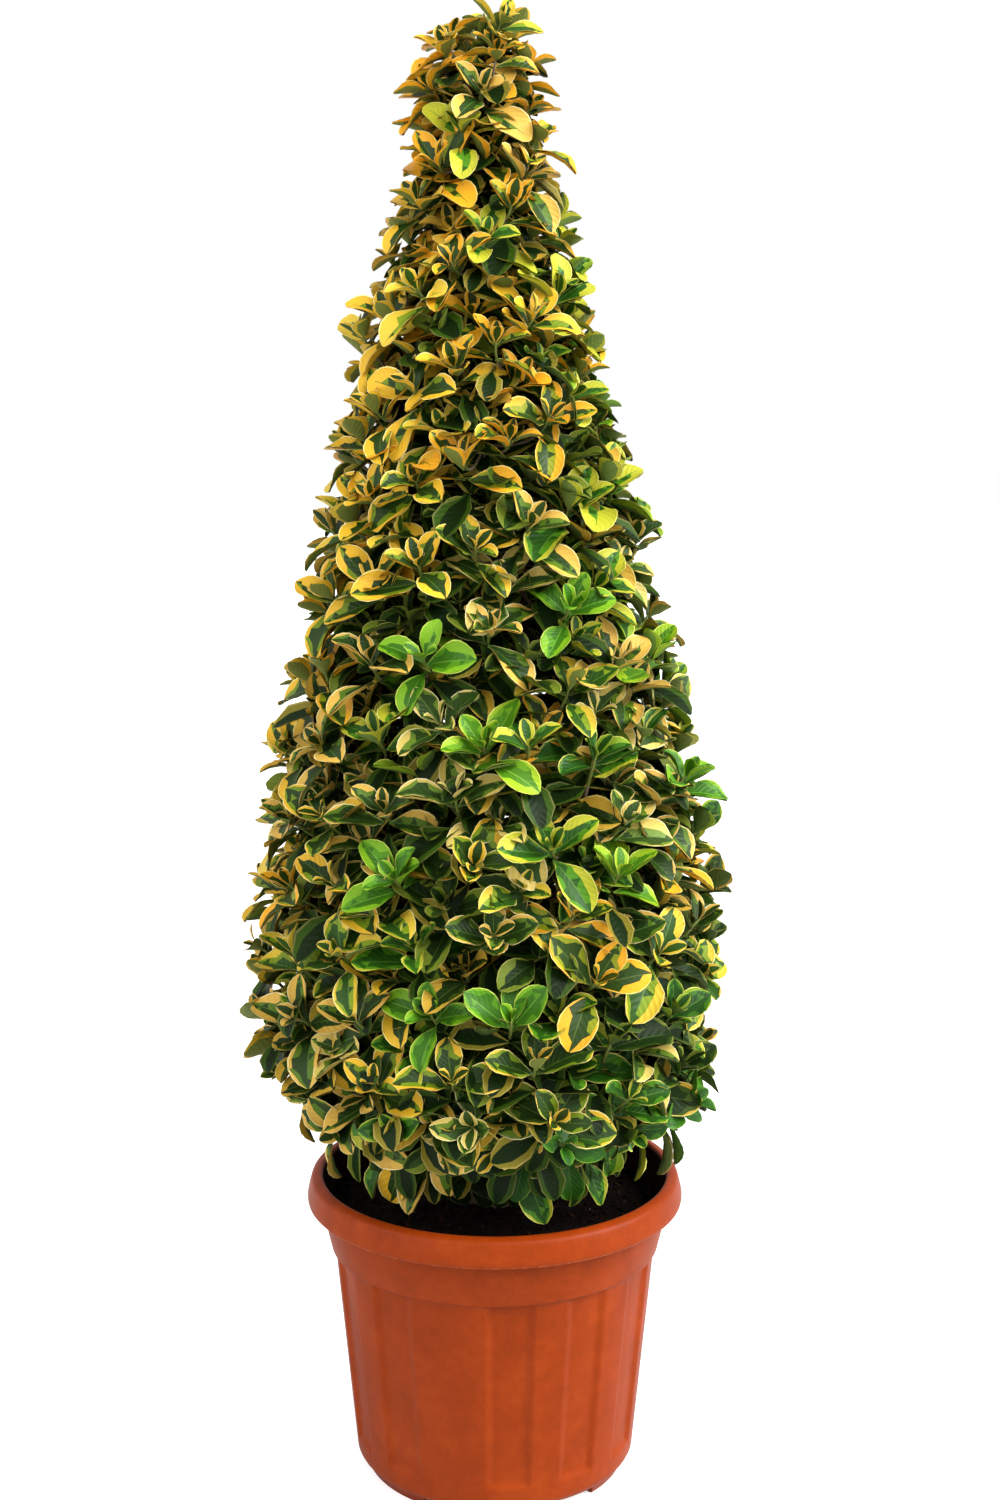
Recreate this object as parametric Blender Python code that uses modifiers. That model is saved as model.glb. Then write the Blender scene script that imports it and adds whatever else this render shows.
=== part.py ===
"""A golden-variegated Japanese euonymus clipped as a tall cone, in a moulded plastic pot.

Metres, +Z up. The origin is the centre of the pot's underside on the ground and the front is -Y.
The pot holds its soil, the trunk stands on the soil and runs up through the crown, and the crown is
tiers of foliage masses round the trunk. Each mass grows from one stem by a seeded rule: a small core,
twigs that stand out of it, and a rosette of leaves at each twig's end.
"""

import math
import random

import bmesh
import bpy
from mathutils import Vector
from mathutils.bvhtree import BVHTree

MM = 0.001
CLEAR = 0.3 * MM  # left between any two pieces that meet
SEED = 29

# Pot
POT_STEPS = 40
RIM_TOP = 287 * MM
RIM_LIP = 261.5 * MM  # lower edge of the turned-down collar
RIM_INNER_R, RIM_OUTER_R = 162 * MM, 177 * MM
BAND_LOW = 217 * MM  # the smooth band below the collar steps in here
BAND_TOP_R, BAND_LOW_R = 161 * MM, 155 * MM
BODY_TOP_R, BODY_LOW_R = 151.6 * MM, 132.4 * MM  # over the raised panels
BODY_LOW = 15 * MM  # the corner under the body starts to round here
WALL, COLLAR_WALL = 4.2 * MM, 3.0 * MM
FLOOR, FOOT_H = 3.5 * MM, 8.0 * MM
FOOT_R, FOOT_WIDTH = 123 * MM, 7.0 * MM
FLUTES, FLUTE_DEPTH, FLUTE_LOW = 12, 2.8 * MM, 29 * MM
WIDE_PANEL, RECESS = 29.4, 14.2  # degrees round the body
PANEL = (360 - WIDE_PANEL - FLUTES * RECESS) / (FLUTES - 1)
WIDE_PANEL_AT = -16.5  # degrees from the front, + towards +X
NOTCHES, NOTCH_ANGLE, NOTCH_AT = 6, 17.0, 37.0  # gaps in the foot ring
DRAIN_HOLES, DRAIN_R, DRAIN_AT_R = 6, 8 * MM, 84 * MM

# Soil
SOIL_TOP = 256 * MM
SOIL_EDGE_DROP = 3 * MM
SOIL_LUMP = 1.6 * MM

# Trunk
TRUNK_TIP = 1.316
TRUNK_RADII = ((0.0, 14.5), (0.15, 12.0), (0.45, 9.0), (0.75, 6.4), (0.93, 4.6), (1.0, 2.4))  # share, mm
FLARE, FLARE_H, FLARE_LOBES = 7.5 * MM, 45 * MM, 5
TRUNK_LEAN, TRUNK_SWAY = -13 * MM, 2.6 * MM
TRUNK_SIDES, TRUNK_RINGS = 10, 17

# Crown: half-width to the leaf tips at each height
OUTLINE = (
    (0.292, 0.080), (0.298, 0.130), (0.322, 0.172), (0.350, 0.204), (0.385, 0.222), (0.440, 0.228),
    (0.520, 0.226), (0.650, 0.212), (0.760, 0.188), (0.920, 0.151), (1.080, 0.115), (1.180, 0.083),
    (1.310, 0.058), (1.336, 0.042), (1.355, 0.018),
)
# Each tier: bottom, top, masses in it, turn of their edges in degrees
TIERS = ((0.285, 0.555, 3, 18), (0.555, 0.825, 3, 76), (0.825, 1.090, 3, 134), (1.090, 1.360, 2, 38))
SHINGLE, SHINGLE_DROP = 0.7, 30 * MM  # each tier's foliage hangs this far over the one below
ROSETTES = 108
GOLDEN_ANGLE = math.radians(137.50776)
ROSETTE_INSET = 39 * MM  # rosette's heart inside the outline
CORE_INSET, CORE_GAP, CORE_FOLD = 50 * MM, 0.9 * MM, 6 * MM
LEAF_LENGTH, LEAF_WIDTH, LEAF_THICK = 62 * MM, 41 * MM, 1.6 * MM
LEAF_WIDEST, LEAF_THICKEST = 0.60, 0.20  # shares of the length
LEAVES_OPEN = (88, 80, 60, 52, 24)  # degrees each leaf opens from the twig's line, outer pair first
LEAF_NODES = (16, 12.5, 8.5, 5.5, 2)  # mm back from the twig's end to where each leaf springs
TWIG_R = 3.4 * MM
LIFT, HANG = 22, -22  # degrees a rosette looks up from square to the crown's surface, or down over a seam
LEAF_TRIES = (  # turned round the twig (radians), shortened and closed by these until a leaf fits
    (0, 1, 1), (0.35, 1, 0.9), (-0.35, 1, 0.9), (0, 0.88, 0.8), (0.7, 0.95, 0.8), (-0.7, 0.95, 0.8),
    (1.2, 0.9, 0.75), (-1.2, 0.9, 0.75), (0, 0.78, 0.6), (0.5, 0.72, 0.5), (-0.5, 0.72, 0.5), (1.7, 0.75, 0.7),
)


# ---------------------------------------------------------------- shared shapes

def material(name, rgb, roughness):
    made = bpy.data.materials.new(name)
    made.use_nodes = True
    shader = made.node_tree.nodes["Principled BSDF"]
    shader.inputs["Base Color"].default_value = (*rgb, 1)
    shader.inputs["Roughness"].default_value = roughness
    made.diffuse_color = (*rgb, 1)
    return made


def collection(name):
    made = bpy.data.collections.new(name)
    bpy.context.scene.collection.children.link(made)
    return made


def between(pairs, at):
    """The value at this place in rising (place, value) pairs, along straight lines."""
    if at <= pairs[0][0]:
        return pairs[0][1]
    for (a, va), (b, vb) in zip(pairs, pairs[1:]):
        if at <= b:
            return va + (vb - va) * (at - a) / (b - a)
    return pairs[-1][1]


def object_of(bm, name, home, look=None):
    """A mesh object from this bmesh, with its faces turned out."""
    bmesh.ops.recalc_face_normals(bm, faces=bm.faces)
    if bm.calc_volume(signed=True) < 0:
        bmesh.ops.reverse_faces(bm, faces=bm.faces)
    mesh = bpy.data.meshes.new(name)
    bm.to_mesh(mesh)
    bm.free()
    made = bpy.data.objects.new(name, mesh)
    home.objects.link(made)
    if look:
        mesh.materials.append(look)
    return made


def loft(rings, name, home, look=None):
    """A closed skin over rings of equally many points, with both ends capped."""
    bm = bmesh.new()
    rows = [[bm.verts.new(point) for point in ring] for ring in rings]
    for low, high in zip(rows, rows[1:]):
        for i in range(len(low)):
            j = (i + 1) % len(low)
            bm.faces.new((low[i], low[j], high[j], high[i]))
    for end in (rows[0], rows[-1]):
        bm.faces.new(end)
    return object_of(bm, name, home, look)


def rod(start, end, r_start, r_end, sides, name, home):
    """A straight tapering limb with flat ends."""
    bm = bmesh.new()
    along = end - start
    bmesh.ops.create_cone(bm, cap_ends=True, segments=sides, radius1=r_start, radius2=r_end,
                          depth=along.length)
    turn = along.to_track_quat("Z", "Y")
    for vert in bm.verts:
        vert.co = turn @ vert.co + (start + end) / 2
    return object_of(bm, name, home)


def screw(profile, name, home, look):
    """A solid turned from an open profile of (radius, height) whose two ends are on the axis."""
    mesh = bpy.data.meshes.new(name)
    mesh.from_pydata([(r, 0, z) for r, z in profile], [(i, i + 1) for i in range(len(profile) - 1)], [])
    made = bpy.data.objects.new(name, mesh)
    home.objects.link(made)
    turned = made.modifiers.new("turn", "SCREW")
    turned.steps = turned.render_steps = POT_STEPS
    turned.use_merge_vertices = True
    turned.merge_threshold = 0.0001
    turned.use_smooth_shade = False
    mesh.materials.append(look)
    apply_modifiers(made)
    bm = bmesh.new()
    bm.from_mesh(made.data)
    bmesh.ops.recalc_face_normals(bm, faces=bm.faces)
    bm.to_mesh(made.data)
    bm.free()
    return made


def apply_modifiers(obj):
    bpy.ops.object.select_all(action="DESELECT")
    bpy.context.view_layer.objects.active = obj
    obj.select_set(True)
    for modifier in list(obj.modifiers):
        bpy.ops.object.modifier_apply(modifier=modifier.name)


def boolean(obj, operand, operation, solver):
    """One Boolean on obj with an object or a whole collection, applied."""
    cut = obj.modifiers.new(operation.lower(), "BOOLEAN")
    cut.operation, cut.solver = operation, solver
    if isinstance(operand, bpy.types.Collection):
        cut.operand_type, cut.collection = "COLLECTION", operand
    else:
        cut.object = operand
    apply_modifiers(obj)


def drop(objects):
    for obj in list(objects):
        bpy.data.objects.remove(obj)


def polar(radius, degrees, z):
    """A point round the axis, in degrees from the front (-Y), + towards +X."""
    a = math.radians(degrees)
    return Vector((radius * math.sin(a), -radius * math.cos(a), z))


# ---------------------------------------------------------------- pot and soil

def body_radius(z):
    return BODY_LOW_R + (BODY_TOP_R - BODY_LOW_R) * (z - BODY_LOW) / (BAND_LOW - BODY_LOW)


def inner_profile():
    """The inside of the pot from its floor up, as (radius, height)."""
    floor = FOOT_H + FLOOR
    return [
        (body_radius(floor) - WALL - 8 * MM, floor),
        (body_radius(floor + 9 * MM) - WALL, floor + 9 * MM),
        (BODY_TOP_R - WALL, BAND_LOW - 3 * MM),
        (BAND_LOW_R - 3 * MM, BAND_LOW + 2 * MM),
        (BAND_TOP_R - 4.2 * MM, 240 * MM),
        (RIM_INNER_R, RIM_TOP - 2.5 * MM),
    ]


def sector_block(r_low, r_high, r_out, z_low, z_high, start, end, steps, name, home):
    """A curved block round the pot's wall from angle start to end. Its inner face leans with the wall."""
    rings = []
    for i in range(steps + 1):
        a = start + (end - start) * i / steps
        slack = FLUTE_DEPTH if i in (0, steps) else 0  # the flute's sides slant
        rings.append([
            polar(r_low + slack, a, z_low + 3 * MM), polar(r_high + slack, a, z_high),
            polar(r_out, a, z_high), polar(r_out, a, z_low - 8 * MM), polar(r_low + 3 * MM, a, z_low - 8 * MM),
        ])
    return loft(rings, name, home)


def build_pot(home, cutters, look):
    outer = [
        (RIM_INNER_R + 1.4 * MM, RIM_TOP), (RIM_INNER_R + 5 * MM, RIM_TOP), (RIM_OUTER_R - 6 * MM, RIM_TOP - 2 * MM),
        (RIM_OUTER_R - 2 * MM, RIM_TOP - 8 * MM), (RIM_OUTER_R, RIM_TOP - 17 * MM), (RIM_OUTER_R - 0.4 * MM, RIM_LIP),
        (RIM_OUTER_R - COLLAR_WALL, RIM_LIP), (RIM_OUTER_R - COLLAR_WALL - 0.6 * MM, RIM_TOP - 13 * MM),
        (BAND_TOP_R + 4 * MM, RIM_TOP - 12 * MM), (BAND_TOP_R + 1 * MM, RIM_LIP - 4 * MM),
        (BAND_TOP_R - 1.6 * MM, 237 * MM), (BAND_LOW_R + 2.2 * MM, 226 * MM), (BAND_LOW_R, BAND_LOW),
        (BODY_TOP_R, BAND_LOW - 1.5 * MM), (BODY_LOW_R, BODY_LOW), (BODY_LOW_R - 3 * MM, 6 * MM), (FOOT_R, 0),
        (FOOT_R - FOOT_WIDTH, 0), (FOOT_R - FOOT_WIDTH - 1 * MM, FOOT_H),
    ]
    pot = screw([(0, FOOT_H + FLOOR)] + inner_profile() + outer + [(0, FOOT_H)], "pot", home, look)

    # Twelve shallow flutes in the body, between eleven narrow panels and a wide one
    edges = []
    at = WIDE_PANEL_AT + WIDE_PANEL / 2
    for _ in range(FLUTES):
        edges.append((at, at + RECESS))
        at += RECESS + PANEL
    for n, (start, end) in enumerate(edges):
        sector_block(body_radius(FLUTE_LOW) - FLUTE_DEPTH, body_radius(BAND_LOW) - FLUTE_DEPTH, 154 * MM,
                     FLUTE_LOW, BAND_LOW - 2.6 * MM, start, end, 3, f"flute_{n}", cutters)
    # Gaps in the foot ring, and drain holes in the floor
    for n in range(NOTCHES):
        mid = NOTCH_AT + 360 / NOTCHES * n
        half, low = NOTCH_ANGLE / 2, -2 * MM
        rings = []
        for radius in (FOOT_R - 2.2 * FOOT_WIDTH, FOOT_R + 12 * MM):
            rings.append([polar(radius, mid - half - 1.5, low), polar(radius, mid + half + 1.5, low),
                          polar(radius, mid + half - 1, FOOT_H - 0.4 * MM),
                          polar(radius, mid - half + 1, FOOT_H - 0.4 * MM)])
        loft(rings, f"notch_{n}", cutters)
    for n in range(DRAIN_HOLES):
        at = polar(DRAIN_AT_R, NOTCH_AT + 360 / DRAIN_HOLES * n, 0)
        rod(at + Vector((0, 0, -5 * MM)), at + Vector((0, 0, 20 * MM)), DRAIN_R, DRAIN_R, 10,
            f"drain_{n}", cutters)
    for cutter in cutters.objects:
        cutter.hide_render, cutter.display_type = True, "WIRE"
    boolean(pot, cutters, "DIFFERENCE", "EXACT")
    drop(cutters.objects)
    return pot


def build_soil(home, look):
    wall = [(r - CLEAR / math.cos(math.pi / POT_STEPS), z) for r, z in inner_profile()]
    wall[0] = (wall[0][0], wall[0][1] + CLEAR)
    edge_z = SOIL_TOP - SOIL_EDGE_DROP
    sides = [point for point in wall if point[1] < edge_z]
    inner = inner_profile()
    edge_r = between([(z, r) for r, z in inner], edge_z) - CLEAR / math.cos(math.pi / POT_STEPS)
    profile = [(0, SOIL_TOP), (30 * MM, SOIL_TOP), (95 * MM, SOIL_TOP - 0.8 * MM), (edge_r, edge_z)]
    profile += sides[::-1] + [(0, wall[0][1])]
    soil = screw(profile, "soil", home, look)
    rng = random.Random(SEED)
    for vert in soil.data.vertices:
        out = math.hypot(vert.co.x, vert.co.y)
        if vert.co.z > edge_z + 0.5 * MM and out > 50 * MM:
            vert.co.z += rng.uniform(-SOIL_LUMP, SOIL_LUMP)
    return soil


# ---------------------------------------------------------------- trunk

def trunk_share(z):
    return (z - SOIL_TOP) / (TRUNK_TIP - SOIL_TOP)


def trunk_centre(z):
    s = max(0.0, min(1.0, trunk_share(z)))
    x = TRUNK_LEAN * s ** 0.8 + TRUNK_SWAY * math.sin(7.0 * s) * s * (1.2 - s)
    y = TRUNK_SWAY * math.sin(5.2 * s + 0.4) * s
    return Vector((x, y, z))


def trunk_radius(z):
    return between(TRUNK_RADII, trunk_share(z)) * MM


def build_trunk(name, home, look=None, extra=0.0):
    """The leader from its flat cut on the soil to its tip, with a root flare. extra makes it fatter."""
    rings = []
    low = SOIL_TOP + CLEAR
    for i in range(TRUNK_RINGS):
        share = (i / (TRUNK_RINGS - 1)) ** 1.25
        z = low + (TRUNK_TIP - low) * share
        spread = max(0.0, 1 - (z - low) / FLARE_H) ** 2 * FLARE
        ring = []
        for k in range(TRUNK_SIDES):
            a = 2 * math.pi * k / TRUNK_SIDES
            lobe = 1 + 0.45 * math.cos(FLARE_LOBES * a)
            r = trunk_radius(z) + spread * lobe + extra
            ring.append(trunk_centre(z) + Vector((r * math.cos(a), r * math.sin(a), 0)))
        rings.append(ring)
    if extra:
        for ring, dz in ((rings[0], -extra), (rings[-1], extra)):
            for point in ring:
                point.z += dz
    return loft(rings, name, home, look)


# ---------------------------------------------------------------- foliage

def outline(z):
    return between(OUTLINE, z)


def rosette_heights():
    """Heights that share the crown's surface out evenly among the rosettes."""
    low, high, steps = OUTLINE[0][0] + 0.002, OUTLINE[-1][0] - 0.010, 600
    area, table = 0.0, []
    for i in range(steps):
        z = low + (high - low) * (i + 0.5) / steps
        slope = (outline(z + 1e-4) - outline(z - 1e-4)) / 2e-4
        thin = 1 + 0.9 * (1 - outline(z) / OUTLINE[5][1])  # the narrow top needs more to look as full
        area += outline(z) * math.sqrt(1 + slope * slope) * thin
        table.append((area, z))
    return [between(table, area * (i + 0.5) / ROSETTES) for i in range(ROSETTES)]


class Space:
    """The wedge of the crown that one mass keeps to."""

    def __init__(self, tier, index):
        self.low, self.high, count, turn = TIERS[tier]
        self.start = math.radians(turn + 360 / count * index)
        self.span = 2 * math.pi / count
        self.middle = self.start + self.span / 2
        self.axis = trunk_centre((self.low + self.high) / 2)
        self.name = f"foliage_{'abcde'[tier]}{index + 1}"
        self.sides = []
        for angle, sign in ((self.start, 1), (self.start + self.span, -1)):
            self.sides.append(Vector((-math.sin(angle), math.cos(angle), 0)) * sign)

    def holds_angle(self, angle):
        return (angle - self.start) % (2 * math.pi) < self.span

    def room(self, point):
        """How far inside the wedge a point is. Its floor and roof slope down past the core."""
        from_axis = Vector((point.x - self.axis.x, point.y - self.axis.y, 0))
        rooms = [side.dot(from_axis) for side in self.sides]
        centre = trunk_centre(point.z)
        out = math.hypot(point.x - centre.x, point.y - centre.y)
        floor, roof = (
            level - min(SHINGLE_DROP, SHINGLE * max(0.0, out - core_radii(level)[1])) for level in (self.low, self.high)
        )
        return min(rooms + [point.z - floor - 1 * MM, roof - point.z])

    def holds(self, point, past_outline):
        centre = trunk_centre(point.z)
        out = math.hypot(point.x - centre.x, point.y - centre.y)
        if out > outline(point.z) + past_outline or point.z < OUTLINE[0][0]:
            return False
        return self.room(point) > 0.7 * MM and out > trunk_radius(point.z) + 4 * MM

    def at(self, radius, angle, z):
        centre = trunk_centre(z)
        return Vector((centre.x + radius * math.cos(angle), centre.y + radius * math.sin(angle), z))


def leaf_points(bm, root, along, up, length, width):
    """Shapes a unit octahedron into a leaf: pointed at root and tip, widest past its middle, cupped."""
    side = along.cross(up).normalized()
    for vert in bm.verts:
        x, y, z = vert.co
        if abs(x) > 0.5:
            share, lift = (0.0, 0.0) if x < 0 else (1.0, -0.10)
        elif abs(y) > 0.5:
            share, lift = LEAF_WIDEST, 0.09
        else:
            share, lift = LEAF_THICKEST, -0.01
        vert.co = root + along * (share * length) + side * (round(y) * width / 2)
        vert.co += up * (lift * length + round(z) * LEAF_THICK / 2)


def leaf(root, along, up, length, width, name, home):
    """A leaf as a mesh object, or as a search tree where it has no home."""
    bm = bmesh.new()
    bmesh.ops.create_uvsphere(bm, u_segments=4, v_segments=2, radius=1)
    leaf_points(bm, root, along, up, length, width)
    if home is None:
        tree = BVHTree.FromBMesh(bm)
        bm.free()
        return tree
    return object_of(bm, name, home)


def tree_of(obj):
    bm = bmesh.new()
    bm.from_mesh(obj.data)
    tree = BVHTree.FromBMesh(bm)
    bm.free()
    return tree


def leaf_fits(space, root, along, up, length, width, past):
    side = along.cross(up).normalized()
    wide = root + along * (LEAF_WIDEST * length) + up * (0.09 * length)
    tip = root + along * length - up * (0.10 * length)
    return all(space.holds(p, past) for p in (wide + side * width / 2, wide - side * width / 2, tip))


def core_heights(space):
    return (max(space.low, OUTLINE[0][0] + 52 * MM) + CORE_GAP,
            min(space.high, OUTLINE[-1][0] - 50 * MM) - CORE_GAP)


def core_radii(z):
    return trunk_radius(z) + 4 * MM, max(outline(z) - CORE_INSET, outline(z) * 0.30)


def core_rings(space):
    """The smaller block the leaves stand out of, clear of the trunk and of its neighbours."""
    rng = random.Random(SEED + hash_of(space.name))
    low, high = core_heights(space)
    rings = []
    for i in range(6):
        z = low + (high - low) * i / 5
        inner, outer = core_radii(z)
        if z < 0.40:
            outer -= 0.3 * (outer - inner)
        margin = CORE_GAP
        ring = []
        for k in range(7):
            turn = space.start + math.asin(min(0.6, margin / outer))
            room = space.span - 2 * math.asin(min(0.6, margin / outer))
            fold = CORE_FOLD * (1 if (i + k) % 2 else -1) * min(1, outer / (90 * MM)) + rng.uniform(-3, 3) * MM
            r = outer + (min(0, fold) if k in (0, 6) or i in (0, 5) else fold)
            ring.append(space.at(r, turn + room * k / 6, z))
        for k in (2, 1, 0):
            turn = space.start + math.asin(min(0.6, margin / inner))
            room = space.span - 2 * math.asin(min(0.6, margin / inner))
            ring.append(space.at(inner, turn + room * k / 2, z))
        rings.append(ring)
    return rings


def inside_core(space, point):
    """A place well inside the mass's core, near this point, for a twig to start from."""
    low, high = core_heights(space)
    z = min(max(point.z, low + 9 * MM), high - 9 * MM)
    inner, outer = core_radii(z)
    centre = trunk_centre(z)
    angle = math.atan2(point.y - centre.y, point.x - centre.x)
    from_middle = (angle - space.middle + math.pi) % (2 * math.pi) - math.pi
    reach = space.span / 2 - math.asin(min(0.9, 9 * MM / outer))
    angle = space.middle + min(max(from_middle, -reach), reach)
    return space.at(inner + 0.55 * (0.92 * outer - inner), angle, z)


def hash_of(name):
    return sum((i + 1) * ord(letter) for i, letter in enumerate(name))


def grow_rosette(space, number, angle, z, home, rng, placed):
    """One twig out of the core with its rosette of leaves. Leaves that leave the space are skipped."""
    lean = math.atan2(-(outline(z + 12 * MM) - outline(z - 12 * MM)), 24 * MM)  # which way the surface faces
    scale = min(1.0, 0.72 + 0.28 * outline(z) / 0.15) * rng.uniform(0.94, 1.06)
    inset = min(ROSETTE_INSET, outline(z) * 0.62) * (0.84, 1.1)[number % 2] * rng.uniform(0.93, 1.07)
    past = rng.uniform(-2, 5) * MM
    hangs = space.low > 0.4 and z < space.low + 12 * MM  # over the seam with the tier below
    best = []
    for attempt in range(10):
        wander = rng.uniform(-9, 9) * MM * (attempt > 1) / max(0.05, outline(z))
        radius = max(outline(z) - inset * math.cos(lean), trunk_radius(z) + 7 * MM)
        heart = space.at(radius, angle + wander, z - inset * math.sin(lean))
        for _ in range(4):  # move the heart in from the wedge's faces
            from_axis = Vector((heart.x - space.axis.x, heart.y - space.axis.y, 0))
            for side in space.sides:
                short = 9 * MM - side.dot(from_axis)
                if short > 0:
                    heart += side * short
            heart.z = min(max(heart.z, space.low + 4 * MM), space.high - 12 * MM)
        outward = Vector((heart.x - trunk_centre(heart.z).x, heart.y - trunk_centre(heart.z).y, 0)).normalized()
        rise = lean + math.radians((HANG if hangs else LIFT) * max(0.0, math.cos(lean)) ** 2 + rng.uniform(-10, 10))
        across = Vector((-outward.y, outward.x, 0)) * rng.uniform(-0.25, 0.25)
        line = ((outward + across).normalized() * math.cos(rise) + Vector((0, 0, math.sin(rise)))).normalized()
        root, end = inside_core(space, heart), heart + line * 8 * MM
        twig_line = (end - root).normalized()
        first = line.orthogonal().normalized()
        second = line.cross(first).normalized()
        turn = rng.uniform(0, math.pi)
        found = []
        for k, open_deg in enumerate(LEAVES_OPEN):
            psi_0 = turn + math.pi * k + (math.pi / 2) * (k // 2)
            shape = None
            for shift, shorten, close in LEAF_TRIES:
                psi = psi_0 + shift + rng.uniform(-0.15, 0.15)
                u = first * math.cos(psi) + second * math.sin(psi)
                phi = math.radians(open_deg * close + rng.uniform(-5, 5))
                along = (line * math.cos(phi) + u * math.sin(phi)).normalized()
                up = (line * math.sin(phi) - u * math.cos(phi)).normalized()
                length = LEAF_LENGTH * scale * shorten * (1.0, 1.0, 0.95, 0.95, 0.85)[k]
                width = LEAF_WIDTH * scale * (0.5 + 0.5 * shorten)
                base = end - twig_line * (LEAF_NODES[k] * MM) - along * 1.3 * MM
                if not leaf_fits(space, base, along, up, length, width, past):
                    continue
                tree = leaf(base, along, up, length, width, "", None)
                if not any(tree.overlap(other) for other in placed + [f[1] for f in found]):
                    shape = (base, along, up, length, width)
                    break
            if shape:
                found.append((shape, tree))
        if sum(f[0][3] for f in found) > sum(f[0][3] for f in best):
            best, twig = found, (root, end)
        if len(best) == len(LEAVES_OPEN) and attempt > 2:
            break
    if len(best) < 2:
        return 0
    rod(*twig, TWIG_R * 1.15, TWIG_R, 3, f"twig_{number}", home)
    for k, (shape, tree) in enumerate(best):
        leaf(*shape, f"leaf_{number}_{k}", home)
        placed.append(tree)
    return len(best)


def keep_largest(obj):
    """Drops loose scraps and fills hollows that the union sealed, by keeping only the outer skin."""
    bm = bmesh.new()
    bm.from_mesh(obj.data)
    bmesh.ops.triangulate(bm, faces=bm.faces)
    left, shells = set(bm.verts), []
    while left:
        shell, stack = set(), [left.pop()]
        while stack:
            vert = stack.pop()
            shell.add(vert)
            for edge in vert.link_edges:
                other = edge.other_vert(vert)
                if other in left:
                    left.discard(other)
                    stack.append(other)
        shells.append(shell)
    shells.sort(key=len)
    for shell in shells[:-1]:
        bmesh.ops.delete(bm, geom=list(shell), context="VERTS")
    bm.to_mesh(obj.data)
    bm.free()
    return len(shells) - 1


def build_mass(space, places, home, look, trunk_cutter):
    rng = random.Random(SEED * 7 + hash_of(space.name))
    loose = collection("loose_" + space.name)
    mass = loft(core_rings(space), space.name, home, look)
    low_z = space.low + 0.30 * (space.high - space.low)
    mid_z = (max(space.low, 0.335) + min(space.high, 1.31)) / 2
    start = trunk_centre(low_z)
    inner, outer = core_radii(mid_z)
    end = space.at(inner + 0.4 * (outer - inner), space.middle, mid_z)
    thick = 0.55 * trunk_radius(low_z)
    rod(start, end, thick, thick * 0.8, 6, "stem", loose)
    count, placed = 0, [tree_of(mass)]
    for number, (angle, z) in places:
        count += grow_rosette(space, number, angle, z, loose, rng, placed)
    boolean(mass, loose, "UNION", "MANIFOLD")
    boolean(mass, trunk_cutter, "DIFFERENCE", "MANIFOLD")
    drop(loose.objects)
    bpy.data.collections.remove(loose)
    lost = keep_largest(mass)
    print(f"{space.name}: {len(places)} rosettes, {count} leaves, {len(mass.data.polygons)} triangles, "
          f"{lost} scraps or hollows dropped")
    return count


def main():
    for obj in list(bpy.data.objects):
        bpy.data.objects.remove(obj)
    home = collection("potted_japanese_euonymus")
    cutters = collection("cutters")
    build_pot(home, cutters, material("moulded_plastic", (0.46, 0.085, 0.024), 0.5))
    build_soil(home, material("potting_soil", (0.012, 0.008, 0.005), 0.95))
    build_trunk("trunk", home, material("bark", (0.16, 0.12, 0.08), 0.85))
    trunk_cutter = build_trunk("trunk_clearance", cutters, None, CLEAR * 1.06)
    trunk_cutter.hide_render, trunk_cutter.display_type = True, "WIRE"

    leaves = material("variegated_leaves", (0.16, 0.20, 0.025), 0.45)
    spaces = [Space(t, n) for t, tier in enumerate(TIERS) for n in range(tier[2])]
    places = {space.name: [] for space in spaces}
    for i, z in enumerate(rosette_heights()):
        z = max(z, TIERS[0][0] + 7 * MM)
        angle = i * GOLDEN_ANGLE % (2 * math.pi)
        for space in spaces:
            if space.low <= z + SHINGLE_DROP * 0.6 < space.high and space.holds_angle(angle):
                places[space.name].append((i, (angle, z)))
    total = sum(build_mass(space, places[space.name], home, leaves, trunk_cutter) for space in spaces)
    print("leaves in all:", total)
    drop([trunk_cutter])


main()
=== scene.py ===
# %% [markdown]
# # A potted Japanese euonymus, clipped as a cone
#
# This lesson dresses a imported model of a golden-variegated evergreen in a terracotta-coloured pot. The
# model holds the true sizes: a pot, its soil, a trunk, and eleven masses of foliage. Here each of them
# gets the finish of the real thing. The pot is turned like clay on a wheel, the trunk gets its bark, and
# each coarse mass of foliage gives way to boughs, twigs and several hundred leaves.
#
# Everything is in metres, the ground is at zero height, and the front looks along -Y.

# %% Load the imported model
import math
import random

import bmesh
import bpy
import numpy as np
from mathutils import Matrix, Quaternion, Vector


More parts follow.
